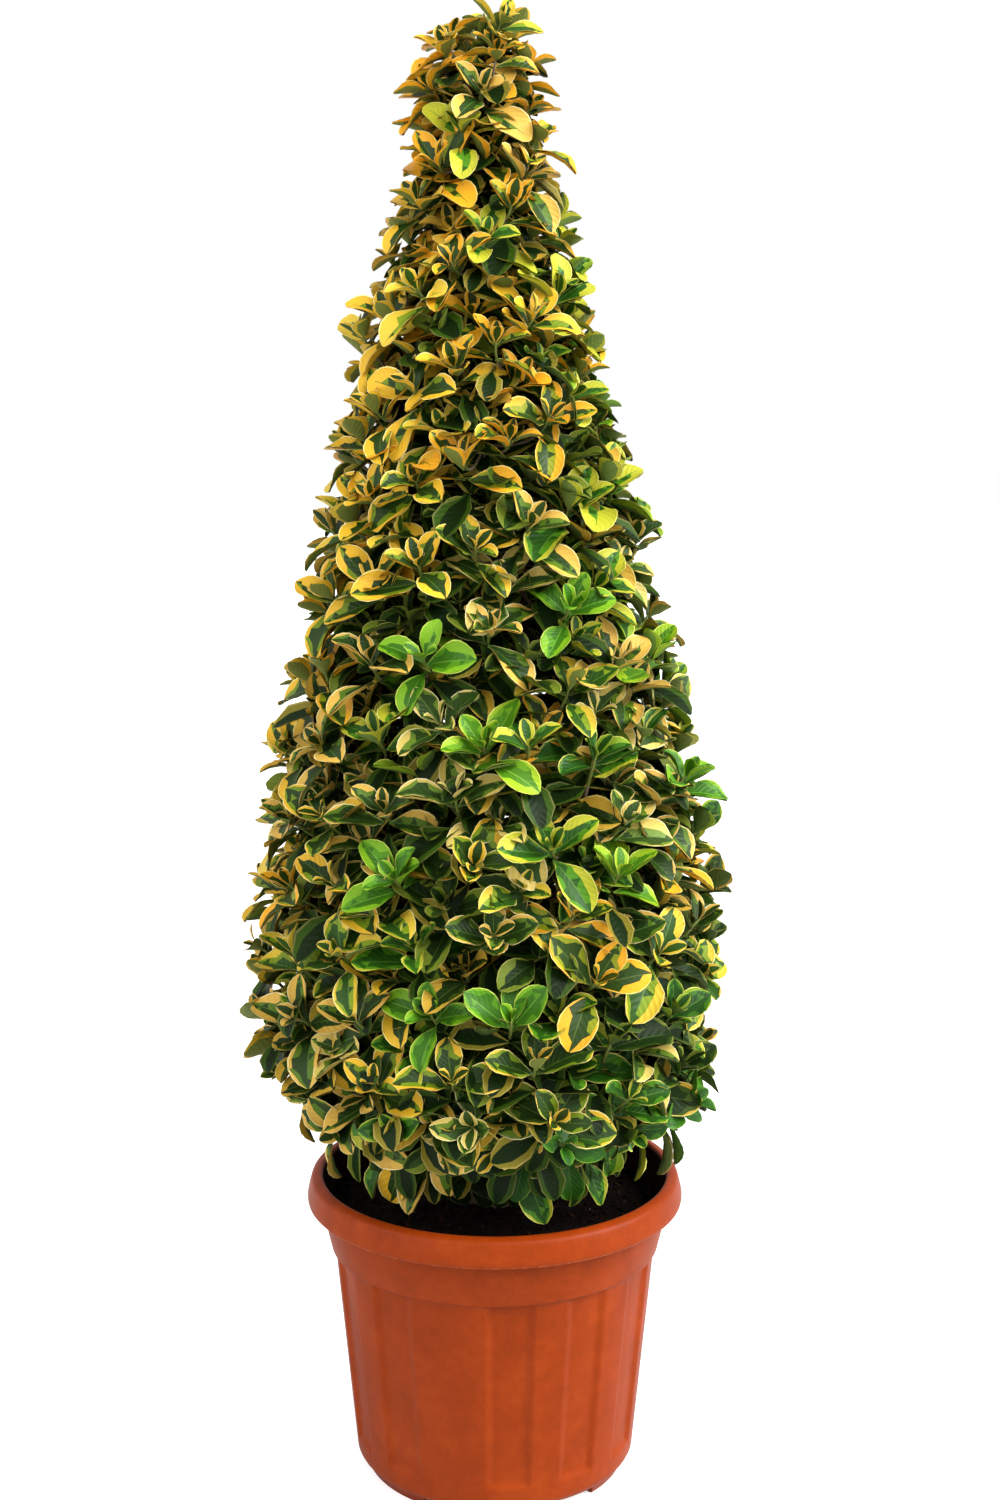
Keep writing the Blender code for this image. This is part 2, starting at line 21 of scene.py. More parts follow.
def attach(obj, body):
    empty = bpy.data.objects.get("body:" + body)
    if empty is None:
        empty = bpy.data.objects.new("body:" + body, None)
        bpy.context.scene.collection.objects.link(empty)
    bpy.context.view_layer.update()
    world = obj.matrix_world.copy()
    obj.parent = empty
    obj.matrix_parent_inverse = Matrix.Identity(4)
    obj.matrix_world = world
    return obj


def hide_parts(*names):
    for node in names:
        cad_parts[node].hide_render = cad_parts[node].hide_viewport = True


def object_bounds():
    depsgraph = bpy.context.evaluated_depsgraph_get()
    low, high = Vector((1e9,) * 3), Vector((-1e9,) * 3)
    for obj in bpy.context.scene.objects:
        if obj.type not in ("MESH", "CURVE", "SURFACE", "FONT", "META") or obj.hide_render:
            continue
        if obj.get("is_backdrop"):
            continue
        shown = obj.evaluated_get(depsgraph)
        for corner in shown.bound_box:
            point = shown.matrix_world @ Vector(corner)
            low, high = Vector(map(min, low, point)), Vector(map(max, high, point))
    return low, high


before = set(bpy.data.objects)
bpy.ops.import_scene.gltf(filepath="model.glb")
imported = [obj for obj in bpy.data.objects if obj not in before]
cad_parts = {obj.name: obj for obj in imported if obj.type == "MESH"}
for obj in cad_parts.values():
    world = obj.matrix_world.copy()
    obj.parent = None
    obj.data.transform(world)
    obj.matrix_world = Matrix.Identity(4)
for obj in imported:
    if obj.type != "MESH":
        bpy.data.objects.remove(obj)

MM = 0.001
CAD_LOW, CAD_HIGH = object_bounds()
print("model from", [round(v, 3) for v in CAD_LOW], "to", [round(v, 3) for v in CAD_HIGH])
print("nodes:", sorted(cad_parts))

# %% [markdown]
# ## Small helpers for colour and nodes
#
# A colour picker gives sRGB hex values, but a shader wants linear numbers, so one function turns the one
# into the other. Another adds a shader node and fills its sockets, with values or with the outputs of
# earlier nodes. All of it could be typed out each time, but with these two every material reads as a
# recipe. Patterns are given by the size of their marks in millimetres, which is easier to judge on the
# real thing than a texture's scale.


# %% Colour and node helpers
def linear(hex_colour):
    """An sRGB hex colour such as "b5471f" as linear red, green, blue and alpha."""
    parts = [int(hex_colour[i:i + 2], 16) / 255 for i in (0, 2, 4)]
    return (*[c / 12.92 if c <= 0.04045 else ((c + 0.055) / 1.055) ** 2.4 for c in parts], 1.0)


def set_socket(material, node, socket, value):
    """Gives a socket a value, or links it to an output, or to the first output of a node."""
    if isinstance(value, bpy.types.Node):
        value = value.outputs[0]
    if isinstance(value, bpy.types.NodeSocket):
        material.node_tree.links.new(value, node.inputs[socket])
    else:
        node.inputs[socket].default_value = value


def add_node(material, kind, sockets=None, stops=(), **settings):
    """Adds one shader node with its settings, its filled sockets and, on a ramp, its colour stops."""
    made = material.node_tree.nodes.new("ShaderNode" + kind)
    for name, value in settings.items():
        setattr(made, name, value)
    for socket, value in (sockets or {}).items():
        set_socket(material, made, socket, value)
    for _ in stops[2:]:  # a ramp starts with two
        made.color_ramp.elements.new(0.5)
    for n, (place, colour) in enumerate(stops):
        made.color_ramp.elements[n].position = place
        made.color_ramp.elements[n].color = linear(colour)
    return made


def new_material(name, colour, roughness, specular=0.5, ior=1.45):
    """A Principled material with its constant values set straight on the shader's sockets."""
    material = bpy.data.materials.new(name)
    material.use_nodes = True
    shader = material.node_tree.nodes["Principled BSDF"]
    values = (linear(colour), roughness, specular, ior)
    for socket, value in zip(("Base Color", "Roughness", "Specular IOR Level", "IOR"), values):
        set_socket(material, shader, socket, value)
    return material, shader


def pattern_scale(size):
    """The scale of a pattern on Object coordinates whose marks are this many millimetres across."""
    return 1000 / size


def add_grain(material, shader, size, detail, rough, strength, distance):
    """A fine relief with grains of this size in mm, in the material's normal."""
    place = add_node(material, "TexCoord").outputs["Object"]
    sockets = {"Vector": place, "Scale": pattern_scale(size), "Detail": detail, "Roughness": rough}
    grain = add_node(material, "TexNoise", sockets)
    bump = add_node(material, "Bump", {"Height": grain, "Strength": strength, "Distance": distance})
    set_socket(material, shader, "Normal", bump)


print("b5471f in linear light is", [round(v, 3) for v in linear("b5471f")])

# %% [markdown]
# ## Floor, light and camera
#
# A plant is judged by its colours, so the light is plain and soft: a pale floor, an even white sky, and
# wide lamps. The key lamp, to the right, models the crown and the pot, a weak one fills in from the left,
# one in front opens the shadows, and a small one near the top lifts it above the foot. A hard sun would
# cut the dense foliage into black and white. The floor glows to the eye alone, which keeps the shadow on
# it faint and adds no light from below. The camera has a normal 50 mm lens at about chest height, two
# steps back, and looks down a little, so the soil shows inside the rim.

# %% Floor, light and camera
LENS_MM, SENSOR_MM = 50.4, 36.0
CAMERA_AT, CAMERA_PITCH = (0.005, -1.893, 1.021), 9.96  # metres, degrees down

SKY_LIGHT = 0.68  # what the sky gives the object; to the eye it is plain white
TOP_LAMP_AT = (0.50, -1.0, 1.78)  # near the top of the crown, which it lifts above the foot
FLOOR_GLOW = 0.62  # only the eye sees it: it keeps the shadow on the floor faint

scene = bpy.context.scene
scene.view_settings.view_transform = "Standard"


def deselect():
    if bpy.context.object and bpy.context.object.mode != "OBJECT":
        bpy.ops.object.mode_set(mode="OBJECT")
    bpy.ops.object.select_all(action="DESELECT")


def only(obj):
    """Selects this object alone and makes it the active one."""
    deselect()
    obj.select_set(True)
    bpy.context.view_layer.objects.active = obj


def soft_sun(name, toward, strength, spread):
    """A wide, even lamp that shines from this direction, as from a large softbox far away."""
    deselect()
    aim = Vector(toward).to_track_quat("Z", "Y").to_euler()
    bpy.ops.object.light_add(type="SUN", location=Vector(toward) * 3, rotation=aim)
    lamp = bpy.context.object
    lamp.name, lamp.data.energy, lamp.data.angle = name, strength, math.radians(spread)


soft_sun("key_lamp", (0.86, -0.22, 0.60), 5.2, 44)
soft_sun("fill_lamp", (-0.90, -0.40, 0.46), 1.5, 70)
soft_sun("front_lamp", (-0.10, -0.75, 0.90), 0.85, 90)
deselect()
aim = (Vector(TOP_LAMP_AT) - Vector((0, 0, 1.0))).to_track_quat("Z", "Y").to_euler()
bpy.ops.object.light_add(type="AREA", location=TOP_LAMP_AT, rotation=aim)
top_lamp = bpy.context.object
top_lamp.name, top_lamp.data.energy, top_lamp.data.size = "top_lamp", 9.5, 0.5
top_lamp.visible_camera = False

world = bpy.data.worlds.new("white_sky")
scene.world = world
world.use_nodes = True
sky = world.node_tree.nodes["Background"]
set_socket(world, sky, "Color", linear("ffffff"))
seen = add_node(world, "LightPath").outputs["Is Camera Ray"]
sockets = {0: seen, 1: 1 - SKY_LIGHT, 2: SKY_LIGHT}
set_socket(world, sky, "Strength", add_node(world, "Math", sockets, operation="MULTIPLY_ADD"))

deselect()
bpy.ops.mesh.primitive_plane_add(size=30)
floor = bpy.context.object
floor.name = "studio_floor"
floor_paint, floor_shader = new_material("matt_white_floor", "cacac8", 0.95)
set_socket(floor_paint, floor_shader, "Emission Color", linear("ffffff"))
seen = add_node(floor_paint, "LightPath").outputs["Is Camera Ray"]
glow = add_node(floor_paint, "Math", {0: seen, 1: FLOOR_GLOW}, operation="MULTIPLY")
set_socket(floor_paint, floor_shader, "Emission Strength", glow)
floor.data.materials.append(floor_paint)
floor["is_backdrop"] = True

bpy.ops.object.camera_add(location=CAMERA_AT, rotation=(math.radians(90 - CAMERA_PITCH), 0, 0))
scene.camera = bpy.context.object
scene.camera.data.lens, scene.camera.data.sensor_width = LENS_MM, SENSOR_MM
print("camera at", CAMERA_AT, "with a", LENS_MM, "mm lens")

# %% [markdown]
# ## The pot: a ring of points, raised and widened like clay on a wheel
#
# The real pot is injection-moulded polypropylene. It has a turned-down collar, a smooth band under it,
# and a tapering body with shallow flutes that stiffen the thin wall. It could be a profile with a Screw
# modifier. Here it starts as a circle that is extruded and scaled ring by ring, because the flutes can
# then be pressed in by selecting points by their angle, in the same edit mode.

# %% Sizes of the pot, in millimetres and degrees
POT_SIDES = 360
BODY_TOP_R, BODY_LOW_R, BODY_LOW, BAND_LOW = 151.6, 132.4, 15.0, 217.0
FOOT_H, FLOOR_THICK, WALL = 8.0, 3.5, 4.2
FOOT_R, FOOT_WIDTH = 123.0, 7.0
FLUTES, WIDE_PANEL, RECESS, WIDE_PANEL_AT = 12, 29.4, 14.2, -16.5
PANEL = (360 - WIDE_PANEL - FLUTES * RECESS) / (FLUTES - 1)
FLUTE_DEPTH, FLUTE_TOP, FLUTE_AT_R = 3.4, BAND_LOW - 3.2, 140.0  # the last is the body's mean radius
OUTER_SKIN = 3.7  # points further in than this belong to the inner wall
FLUTE_PASSES = (  # degrees each side of a flute's middle, lowest height, share of the full depth
    (RECESS / 2 + 0.75, 31.5, 0.46), (RECESS / 2 - 0.25, 34.5, 0.46), (RECESS / 2 - 1.25, 38.0, 0.12),
)
NOTCHES, NOTCH_ANGLE, NOTCH_AT = 6, 17.0, 37.0
DRAIN_HOLES, DRAIN_R, DRAIN_AT_R = 6, 8.0, 84.0

COLLAR = (  # from the inner edge of the rim, over its top and down the collar's face to its lip
    (162.0, 283.6), (162.3, 285.5), (163.2, 286.6), (164.7, 287.0), (167.0, 286.6), (169.4, 285.8),
    (171.4, 284.8), (172.7, 283.5), (173.5, 281.5), (174.4, 278.2), (175.6, 273.6), (176.5, 269.6),
    (177.0, 266.4), (176.9, 263.8), (176.5, 262.2), (175.8, 261.5), (174.9, 261.5), (174.2, 262.2),
    (174.0, 264.0),
)
UNDER_COLLAR = (  # the hollow behind the collar, then the smooth band down to its lower edge
    (173.5, 270.5), (171.6, 274.0), (168.4, 275.2), (165.6, 274.2), (163.6, 270.0), (162.5, 262.0),
    (161.7, 254.0), (160.8, 246.0), (159.6, 238.0), (158.1, 230.5), (156.6, 224.5), (155.6, 220.5),
    (155.3, 218.6), (154.9, 217.5), (154.1, 216.8), (153.1, 216.2), (152.3, 215.6), (151.7, 214.7),
    (151.3, 213.4),
)


def body_radius(z):
    return BODY_LOW_R + (BODY_TOP_R - BODY_LOW_R) * (z - BODY_LOW) / (BAND_LOW - BODY_LOW)


floor_top = FOOT_H + FLOOR_THICK
INNER_WALL = (
    (body_radius(floor_top) - WALL - 8, floor_top), (body_radius(floor_top + 4) - WALL - 2.2, floor_top + 3),
    (body_radius(floor_top + 9) - WALL, floor_top + 9), (BODY_TOP_R - WALL, BAND_LOW - 3),
    (152.0, BAND_LOW + 2), (156.8, 240.0),
)
BODY_ROWS = (208, 196, 150, 100, 60, 40, 36, 33, 30, 27, 24, 20)
FOOT_CORNER = (
    (132.4, 15.0), (131.2, 12.6), (129.5, 10.6), (128.2, 9.2), (126.8, 8.3), (116.2, 8.3), (114.0, 8.0),
)
profile = [*INNER_WALL, *COLLAR, *UNDER_COLLAR, *((body_radius(z), z) for z in BODY_ROWS), *FOOT_CORNER]
print(len(profile), "rings from the inner floor over the rim to the foot")


# %% Edit-mode helpers
def edit():
    bpy.ops.object.mode_set(mode="EDIT")


def leave_edit():
    bpy.ops.object.mode_set(mode="OBJECT")


def pick_all():
    bpy.ops.mesh.select_all(action="SELECT")


def pick(kind, test):
    """Selects only the points, edges or faces whose middle passes a test. Returns how many."""
    bpy.ops.mesh.select_mode(type=kind)
    bpy.ops.mesh.select_all(action="DESELECT")
    mesh = bmesh.from_edit_mesh(bpy.context.object.data)
    items = {"VERT": mesh.verts, "EDGE": mesh.edges, "FACE": mesh.faces}[kind]
    count = 0
    for item in items:
        middle = item.co if kind == "VERT" else sum((v.co for v in item.verts), Vector()) / len(item.verts)
        if test(middle):
            item.select_set(True)
            count += 1
    bmesh.update_edit_mesh(bpy.context.object.data)
    return count


def azimuth(point):
    """Degrees round the axis from the front, + towards +X."""
    return math.degrees(math.atan2(point.x, -point.y))


def apart(a, b):
    return abs((a - b + 180) % 360 - 180)


def scale_round_axis(factor):
    bpy.ops.transform.resize(value=(factor, factor, 1), center_override=(0, 0, 0))


def apply_modifiers(obj):
    for modifier in list(obj.modifiers):
        bpy.ops.object.modifier_apply(modifier=modifier.name)


def displace(obj, lumps, **settings):
    """Roughens a surface with lumps of these (size, rise) pairs."""
    for size, rise in lumps:
        clouds = bpy.data.textures.new("clouds", "CLOUDS")
        clouds.noise_scale, clouds.noise_depth = size, 2
        relief = obj.modifiers.new("relief", "DISPLACE")
        relief.texture, relief.strength, relief.mid_level = clouds, rise, 0.5
        for name, value in settings.items():
            setattr(relief, name, value)
    apply_modifiers(obj)


def turned(name, rings, sides):
    """Turns a circle of points through rings of (radius, height) in mm, and closes both ends."""
    deselect()
    radius, z = rings[0]
    bpy.ops.mesh.primitive_circle_add(vertices=sides, radius=radius * MM, location=(0, 0, z * MM))
    obj = bpy.context.object
    obj.name = name
    bpy.ops.object.transform_apply(location=True)
    edit()
    bpy.ops.mesh.select_mode(type="EDGE")
    pick_all()
    for (r_a, z_a), (r_b, z_b) in zip(rings, rings[1:]):
        bpy.ops.mesh.extrude_edges_move(TRANSFORM_OT_translate={"value": (0, 0, (z_b - z_a) * MM)})
        scale_round_axis(r_b / r_a)
    bpy.ops.mesh.edge_face_add()
    pick("EDGE", lambda p: abs(p.z - z * MM) < 1e-6 and abs(math.hypot(p.x, p.y) - radius * MM) < 1e-4)
    bpy.ops.mesh.edge_face_add()
    pick_all()
    bpy.ops.mesh.remove_doubles(threshold=1e-6)
    bpy.ops.mesh.normals_make_consistent(inside=False)
    leave_edit()
    return obj


# %% Turn the pot and press in its flutes
pot = turned("pot_shell", profile, POT_SIDES)

first_recess = WIDE_PANEL_AT + WIDE_PANEL / 2 + RECESS / 2
recess_middles = [first_recess + n * (RECESS + PANEL) for n in range(FLUTES)]

edit()
for half_angle, lowest, share in FLUTE_PASSES:
    moved = pick("VERT", lambda p: lowest * MM < p.z < FLUTE_TOP * MM
                 and math.hypot(p.x, p.y) > (body_radius(p.z / MM) - OUTER_SKIN) * MM
                 and min(apart(azimuth(p), mid) for mid in recess_middles) < half_angle)
    scale_round_axis(1 - share * FLUTE_DEPTH / FLUTE_AT_R)
    print("flute pass moved", moved, "points")

# %% [markdown]
# The pot stands on six short feet. They are drawn down out of the ring under the body, by an extrusion of
# only those faces that lie between the gaps. Their ends lean in a little, as a moulded shape must, so
# that it leaves its mould.

# %% Draw down the feet
notch_middles = [NOTCH_AT + n * 360 / NOTCHES for n in range(NOTCHES)]
FOOT_RING = (FOOT_R - FOOT_WIDTH, 127.5)
UNDERSIDE_Z, FOOT_DROP = 8.7, 8.3  # the ring's faces lie under the one, and are drawn down by the other
FOOT_TOP_R, END_LEAN = 126.8, 1.2  # the outer radius at a foot's top, degrees that its ends lean in


def in_notch(p):
    return min(apart(azimuth(p), mid) for mid in notch_middles) < NOTCH_ANGLE / 2


def on_ground(p):
    return p.z < 0.5 * MM


drawn = pick("FACE", lambda p: p.z < UNDERSIDE_Z * MM and not in_notch(p)
             and FOOT_RING[0] * MM < math.hypot(p.x, p.y) < FOOT_RING[1] * MM)
bpy.ops.mesh.extrude_region_move(TRANSFORM_OT_translate={"value": (0, 0, -FOOT_DROP * MM)})
pick("VERT", lambda p: on_ground(p) and math.hypot(p.x, p.y) > (FOOT_R + 2) * MM)
scale_round_axis(FOOT_R / FOOT_TOP_R)
beside = NOTCH_ANGLE / 2 + END_LEAN
for mid in notch_middles:
    for side in (-1, 1):
        lean = math.radians(-END_LEAN * side)
        pick("VERT", lambda p: on_ground(p) and 0 < (azimuth(p) - mid) * side % 360 < beside)
        bpy.ops.transform.rotate(value=lean, orient_axis="Z", center_override=(0, 0, 0))
leave_edit()
print("feet:", drawn, "faces drawn down, with", NOTCHES, "gaps")

# %% Cut the drain holes through the floor
deselect()
drills = []
for n in range(DRAIN_HOLES):
    a = math.radians(NOTCH_AT + n * 360 / DRAIN_HOLES)
    place = (DRAIN_AT_R * MM * math.sin(a), -DRAIN_AT_R * MM * math.cos(a), 10 * MM)
    bpy.ops.mesh.primitive_cylinder_add(vertices=40, radius=DRAIN_R * MM, depth=20 * MM, location=place)
    drills.append(bpy.context.object)
for drill in drills:
    drill.select_set(True)
bpy.ops.object.join()
drill = bpy.context.object
only(pot)
cut = pot.modifiers.new("drain_holes", "BOOLEAN")
cut.operation, cut.solver, cut.object = "DIFFERENCE", "EXACT", drill
apply_modifiers(pot)
bpy.data.objects.remove(drill)
only(pot)
bpy.ops.object.shade_smooth_by_angle(angle=math.radians(38))
print("pot:", len(pot.data.polygons), "faces, lowest point", round(min(v.co.z for v in pot.data.vertices), 5))

# %% [markdown]
# ## Moulded polypropylene
#
# A coloured moulding is one colour all through. What the eye reads is a soft satin sheen, slight clouds in
# the tint and fine pits. A pale line is painted along the lip of the collar: a painted highlight on its edge,
# broken into spots like wear from rubbing. It could be painted on an image. Here it follows the height on the
# pot, read from Object coordinates, so it lands on the lip without any picture. The inner wall under the rim
# gets painted shade, dark brown, as a second material.

# %% Material of the pot
LIP_AT, LIP_WIDTH = 0.2618, 0.0013  # where the collar's lip is painted pale, in metres: a painted highlight, broken up like wear
CLOUD_SIZE, LIP_MARK_SIZE, SKIN_GRAIN = 45.5, 3.85, 1.11  # mm
PITS_APART = 5.26  # mm: real pits are finer and closer, and wouldn't show
plastic, plastic_shader = new_material("moulded_polypropylene", "863006", 0.40, 0.10, 1.49)
place = add_node(plastic, "TexCoord").outputs["Object"]
sockets = {"Vector": place, "Scale": pattern_scale(CLOUD_SIZE), "Detail": 9, "Roughness": 0.78}
clouds = add_node(plastic, "TexNoise", sockets)
tint = add_node(plastic, "ValToRGB", {"Fac": clouds}, ((0.30, "772a04"), (0.50, "863006"), (0.72, "94390b")))

# A pale line painted on the collar's lip at the height LIP_AT: a painted highlight on the lip's edge, broken
# into spots like wear from rubbing.
height = add_node(plastic, "SeparateXYZ", {"Vector": place}).outputs["Z"]
over_lip = add_node(plastic, "Math", {0: height, 1: LIP_AT}, operation="SUBTRACT")
off_lip = add_node(plastic, "Math", {0: over_lip}, operation="ABSOLUTE")
near_lip = add_node(plastic, "MapRange", {"Value": off_lip, "From Min": LIP_WIDTH, "From Max": 0})
sockets = {"Vector": place, "Scale": pattern_scale(LIP_MARK_SIZE), "Detail": 3, "Roughness": 0.7}
lip_mark_noise = add_node(plastic, "TexNoise", sockets)
lip_mark_spots = add_node(plastic, "MapRange", {"Value": lip_mark_noise, "From Min": 0.46, "From Max": 0.66})
lip_highlight_and_wear = add_node(plastic, "Math", {0: near_lip, 1: lip_mark_spots}, operation="MULTIPLY")
highlit_and_worn = add_node(plastic, "Mix", {"Factor": lip_highlight_and_wear, "A": tint, "B": linear("b8603a")}, data_type="RGBA")
set_socket(plastic, plastic_shader, "Base Color", highlit_and_worn.outputs["Result"])

pits = add_node(plastic, "TexVoronoi", {"Vector": place, "Scale": pattern_scale(PITS_APART)})
sockets = {"Value": pits, "From Min": 0.05, "From Max": 0.16, "To Min": -1, "To Max": 0}
pit = add_node(plastic, "MapRange", sockets)
skin = add_node(plastic, "TexNoise", {"Vector": place, "Scale": pattern_scale(SKIN_GRAIN), "Detail": 2})
fine = add_node(plastic, "Bump", {"Height": skin, "Strength": 0.10, "Distance": 0.0004})
relief = add_node(plastic, "Bump", {"Height": pit, "Normal": fine, "Strength": 0.25, "Distance": 0.0005})
set_socket(plastic, plastic_shader, "Normal", relief)
print("the tint clouds over", CLOUD_SIZE, "mm, and the pits lie", PITS_APART, "mm apart")

# %% Painted shade on the inner wall, under the rim
# The inner wall just under the rim is painted dark brown: painted shade, where the collar and the crown shade
# the inside of the pot.
SHADE_PAINT_LOW, SHADE_PAINT_HIGH, SHADE_PAINT_R = 0.250, 0.280, 0.1605
shade_painted, _ = new_material("painted_shade_polypropylene", "1f0d06", 0.85, 0.05, 1.49)
pot.data.materials.append(plastic)
pot.data.materials.append(shade_painted)
only(pot)
edit()
inside = pick("FACE", lambda p: SHADE_PAINT_LOW < p.z < SHADE_PAINT_HIGH and math.hypot(p.x, p.y) < SHADE_PAINT_R)
pot.active_material_index = 1
bpy.ops.object.material_slot_assign()
leave_edit()
print(inside, "faces of the inner wall are stained")
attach(pot, "root")
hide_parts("pot")
print("the pot wears", plastic.name)

# %% [markdown]
# ## Potting soil
#
# The pot is filled to about 3 cm under its rim with dark, moist compost. It is a plug that follows the
# pot's inner wall, and its top is a disc of fine rings, roughened by a Displace modifier. A grid would do
# as well, but rings meet the round wall cleanly. Loose crumbs and chips of bark lie on it, because at
# this distance a smooth dark disc would read as paint.

# %% Soil with its relief
SOIL_TOP, SOIL_EDGE_DROP, SOIL_EDGE_R = 256.0, 3.0, 157.8
soil_rings = [
    (body_radius(floor_top) - WALL - 8.7, floor_top + 0.4),
    (body_radius(floor_top + 9) - WALL - 0.5, floor_top + 9.4),
    (BODY_TOP_R - WALL - 0.5, BAND_LOW - 3), (151.5, BAND_LOW + 2.2), (156.2, 240.3),
    (SOIL_EDGE_R, SOIL_TOP - SOIL_EDGE_DROP),
]
soil_rings += [(r, SOIL_TOP - SOIL_EDGE_DROP * (r / SOIL_EDGE_R) ** 6) for r in range(155, 4, -3)]
soil = turned("soil_mound", soil_rings, 240)

edit()
pick("VERT", lambda p: p.z > (SOIL_TOP - 3.5) * MM and math.hypot(p.x, p.y) < (SOIL_EDGE_R - 1) * MM)
bpy.ops.object.vertex_group_assign_new()
leave_edit()
displace(soil, ((0.030, 0.0050), (0.007, 0.0032)), direction="Z", vertex_group=soil.vertex_groups[0].name)
bpy.ops.object.shade_smooth_by_angle(angle=math.radians(60))
tops = [v.co.z for v in soil.data.vertices if math.hypot(v.co.x, v.co.y) < 0.15 and v.co.z > 0.24]
print("soil surface from", round(min(tops), 4), "to", round(max(tops), 4))


# %% Join many small parts into one mesh
def joined(name, parts, materials):
    """One mesh object from (points, corners, corners of each face, slot of each face, uv) parts."""
    starts = np.cumsum([0] + [len(part[0]) for part in parts[:-1]])
    points = np.concatenate([part[0] for part in parts])
    corners = np.concatenate([part[1] + start for part, start in zip(parts, starts)])
    sizes, slots, uv = (np.concatenate([part[n] for part in parts]) for n in (2, 3, 4))
    mesh = bpy.data.meshes.new(name)
    mesh.vertices.add(len(points))
    mesh.vertices.foreach_set("co", points.astype(np.float32).ravel())
    mesh.loops.add(len(corners))
    mesh.loops.foreach_set("vertex_index", corners.astype(np.int32))
    mesh.polygons.add(len(sizes))
    mesh.polygons.foreach_set("loop_start", (np.cumsum(sizes) - sizes).astype(np.int32))
    for material in materials:
        mesh.materials.append(material)
    mesh.polygons.foreach_set("material_index", slots.astype(np.int32))
    mesh.polygons.foreach_set("use_smooth", np.ones(len(sizes), bool))
    mesh.uv_layers.new(name="UVMap").data.foreach_set("uv", uv.astype(np.float32).ravel())
    mesh.update(calc_edges=True)
    obj = bpy.data.objects.new(name, mesh)
    scene.collection.objects.link(obj)
    return obj


def shape_of(obj):
    """The points, face corners, face sizes and uv of an object, which is then removed."""
    mesh = obj.data
    points = np.empty(len(mesh.vertices) * 3, np.float32)
    corners, sizes = np.empty(len(mesh.loops), np.int32), np.empty(len(mesh.polygons), np.int32)
    uv = np.zeros(len(mesh.loops) * 2, np.float32)
    mesh.vertices.foreach_get("co", points)
    mesh.loops.foreach_get("vertex_index", corners)
    mesh.polygons.foreach_get("loop_total", sizes)
    if mesh.uv_layers.active:
        mesh.uv_layers.active.data.foreach_get("uv", uv)
    bpy.data.objects.remove(obj)
    return points.reshape(-1, 3).astype(float), corners, sizes, uv.reshape(-1, 2)


# %% Crumbs and chips on the soil
CRUMBS, CHIP_SHARE, PALE_SHARE = 1500, 0.14, 0.006
LITTER_R, STEM_CLEAR_R = 0.154, 0.022
deselect()
bpy.ops.mesh.primitive_ico_sphere_add(subdivisions=1, radius=1)
crumb_points, crumb_corners, crumb_sizes, crumb_uv = shape_of(bpy.context.object)

rng = random.Random(41)
crumbs = []
for n in range(CRUMBS):
    r, a = LITTER_R * math.sqrt(rng.random()), rng.uniform(0, 2 * math.pi)
    x, y = r * math.cos(a), r * math.sin(a)
    hit, spot, _, _ = soil.ray_cast((x, y, 0.3), (0, 0, -1))
    if not hit or math.hypot(x, y) < STEM_CLEAR_R:
        continue
    kind = rng.random()
    size = rng.uniform(0.5, 1.0) ** 2 * 2.6 * MM
    stretch = np.array([rng.uniform(0.7, 1.3), rng.uniform(0.6, 1.0), rng.uniform(0.5, 0.9)])
    slot = 0
    if kind < CHIP_SHARE:
        size, stretch, slot = rng.uniform(2.2, 4.6) * MM, np.array([1.3, rng.uniform(0.4, 0.7), 0.22]), 1
    elif kind < CHIP_SHARE + PALE_SHARE:
        size, slot = rng.uniform(0.9, 1.5) * MM, 2
    rough = 1 + 0.25 * np.array([[rng.uniform(-1, 1)] for _ in crumb_points])
    turn = np.array(Quaternion([rng.gauss(0, 1) for _ in range(4)]).normalized().to_matrix())
    points = (crumb_points * stretch * rough * size) @ turn.T
    points += np.array([x, y, spot.z + 0.25 * size])
    crumbs.append((points, crumb_corners, crumb_sizes, np.full(len(crumb_sizes), slot), crumb_uv))
print(len(crumbs), "crumbs lie on the soil")

# %% Materials of the soil
PATCH_SIZE, COMPOST_GRAIN = 26.3, 1.92  # mm: damp patches, and the fibres of the mix
compost, compost_shader = new_material("moist_compost", "120905", 0.95, 0.08)
bark_chip, chip_shader = new_material("composted_bark_chip", "27160c", 0.9, 0.08)
grit, grit_shader = new_material("pale_grit", "5f513f", 0.9)
grains = ((compost, compost_shader, 2.38), (bark_chip, chip_shader, 1.43), (grit, grit_shader, 1.11))
for look, shader, grain_size in grains:
    add_grain(look, shader, grain_size, 6, 0.7, 0.6, 0.0012)

mix, mix_shader = new_material("potting_compost", "120905", 0.95, 0.08)
place = add_node(mix, "TexCoord").outputs["Object"]
sockets = {"Vector": place, "Scale": pattern_scale(PATCH_SIZE), "Detail": 8, "Roughness": 0.65}
patches = add_node(mix, "TexNoise", sockets)
earth = add_node(mix, "ValToRGB", {"Fac": patches}, ((0.35, "0b0503"), (0.55, "140a06"), (0.72, "23140b")))
set_socket(mix, mix_shader, "Base Color", earth)
add_grain(mix, mix_shader, COMPOST_GRAIN, 6, 0.75, 0.8, 0.002)
soil.data.materials.append(mix)
litter = joined("soil_crumbs", crumbs, [compost, bark_chip, grit])
for piece in (soil, litter):
    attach(piece, "root")
    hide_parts("soil")
print("the soil wears", mix.name, "and the crumbs", compost.name)

# %% [markdown]
# ## The trunk
#
# One leader runs from the soil to the top, with a slight lean and sway. It is again a circle of points,
# extruded along the leader's line and scaled to its width at each height, with a flare and five root
# ridges at the soil. Grey-brown bark of a young stem is nearly smooth, with fine upright cracks: a
# Displace modifier gives the unevenness, and the material's bump gives the cracks.

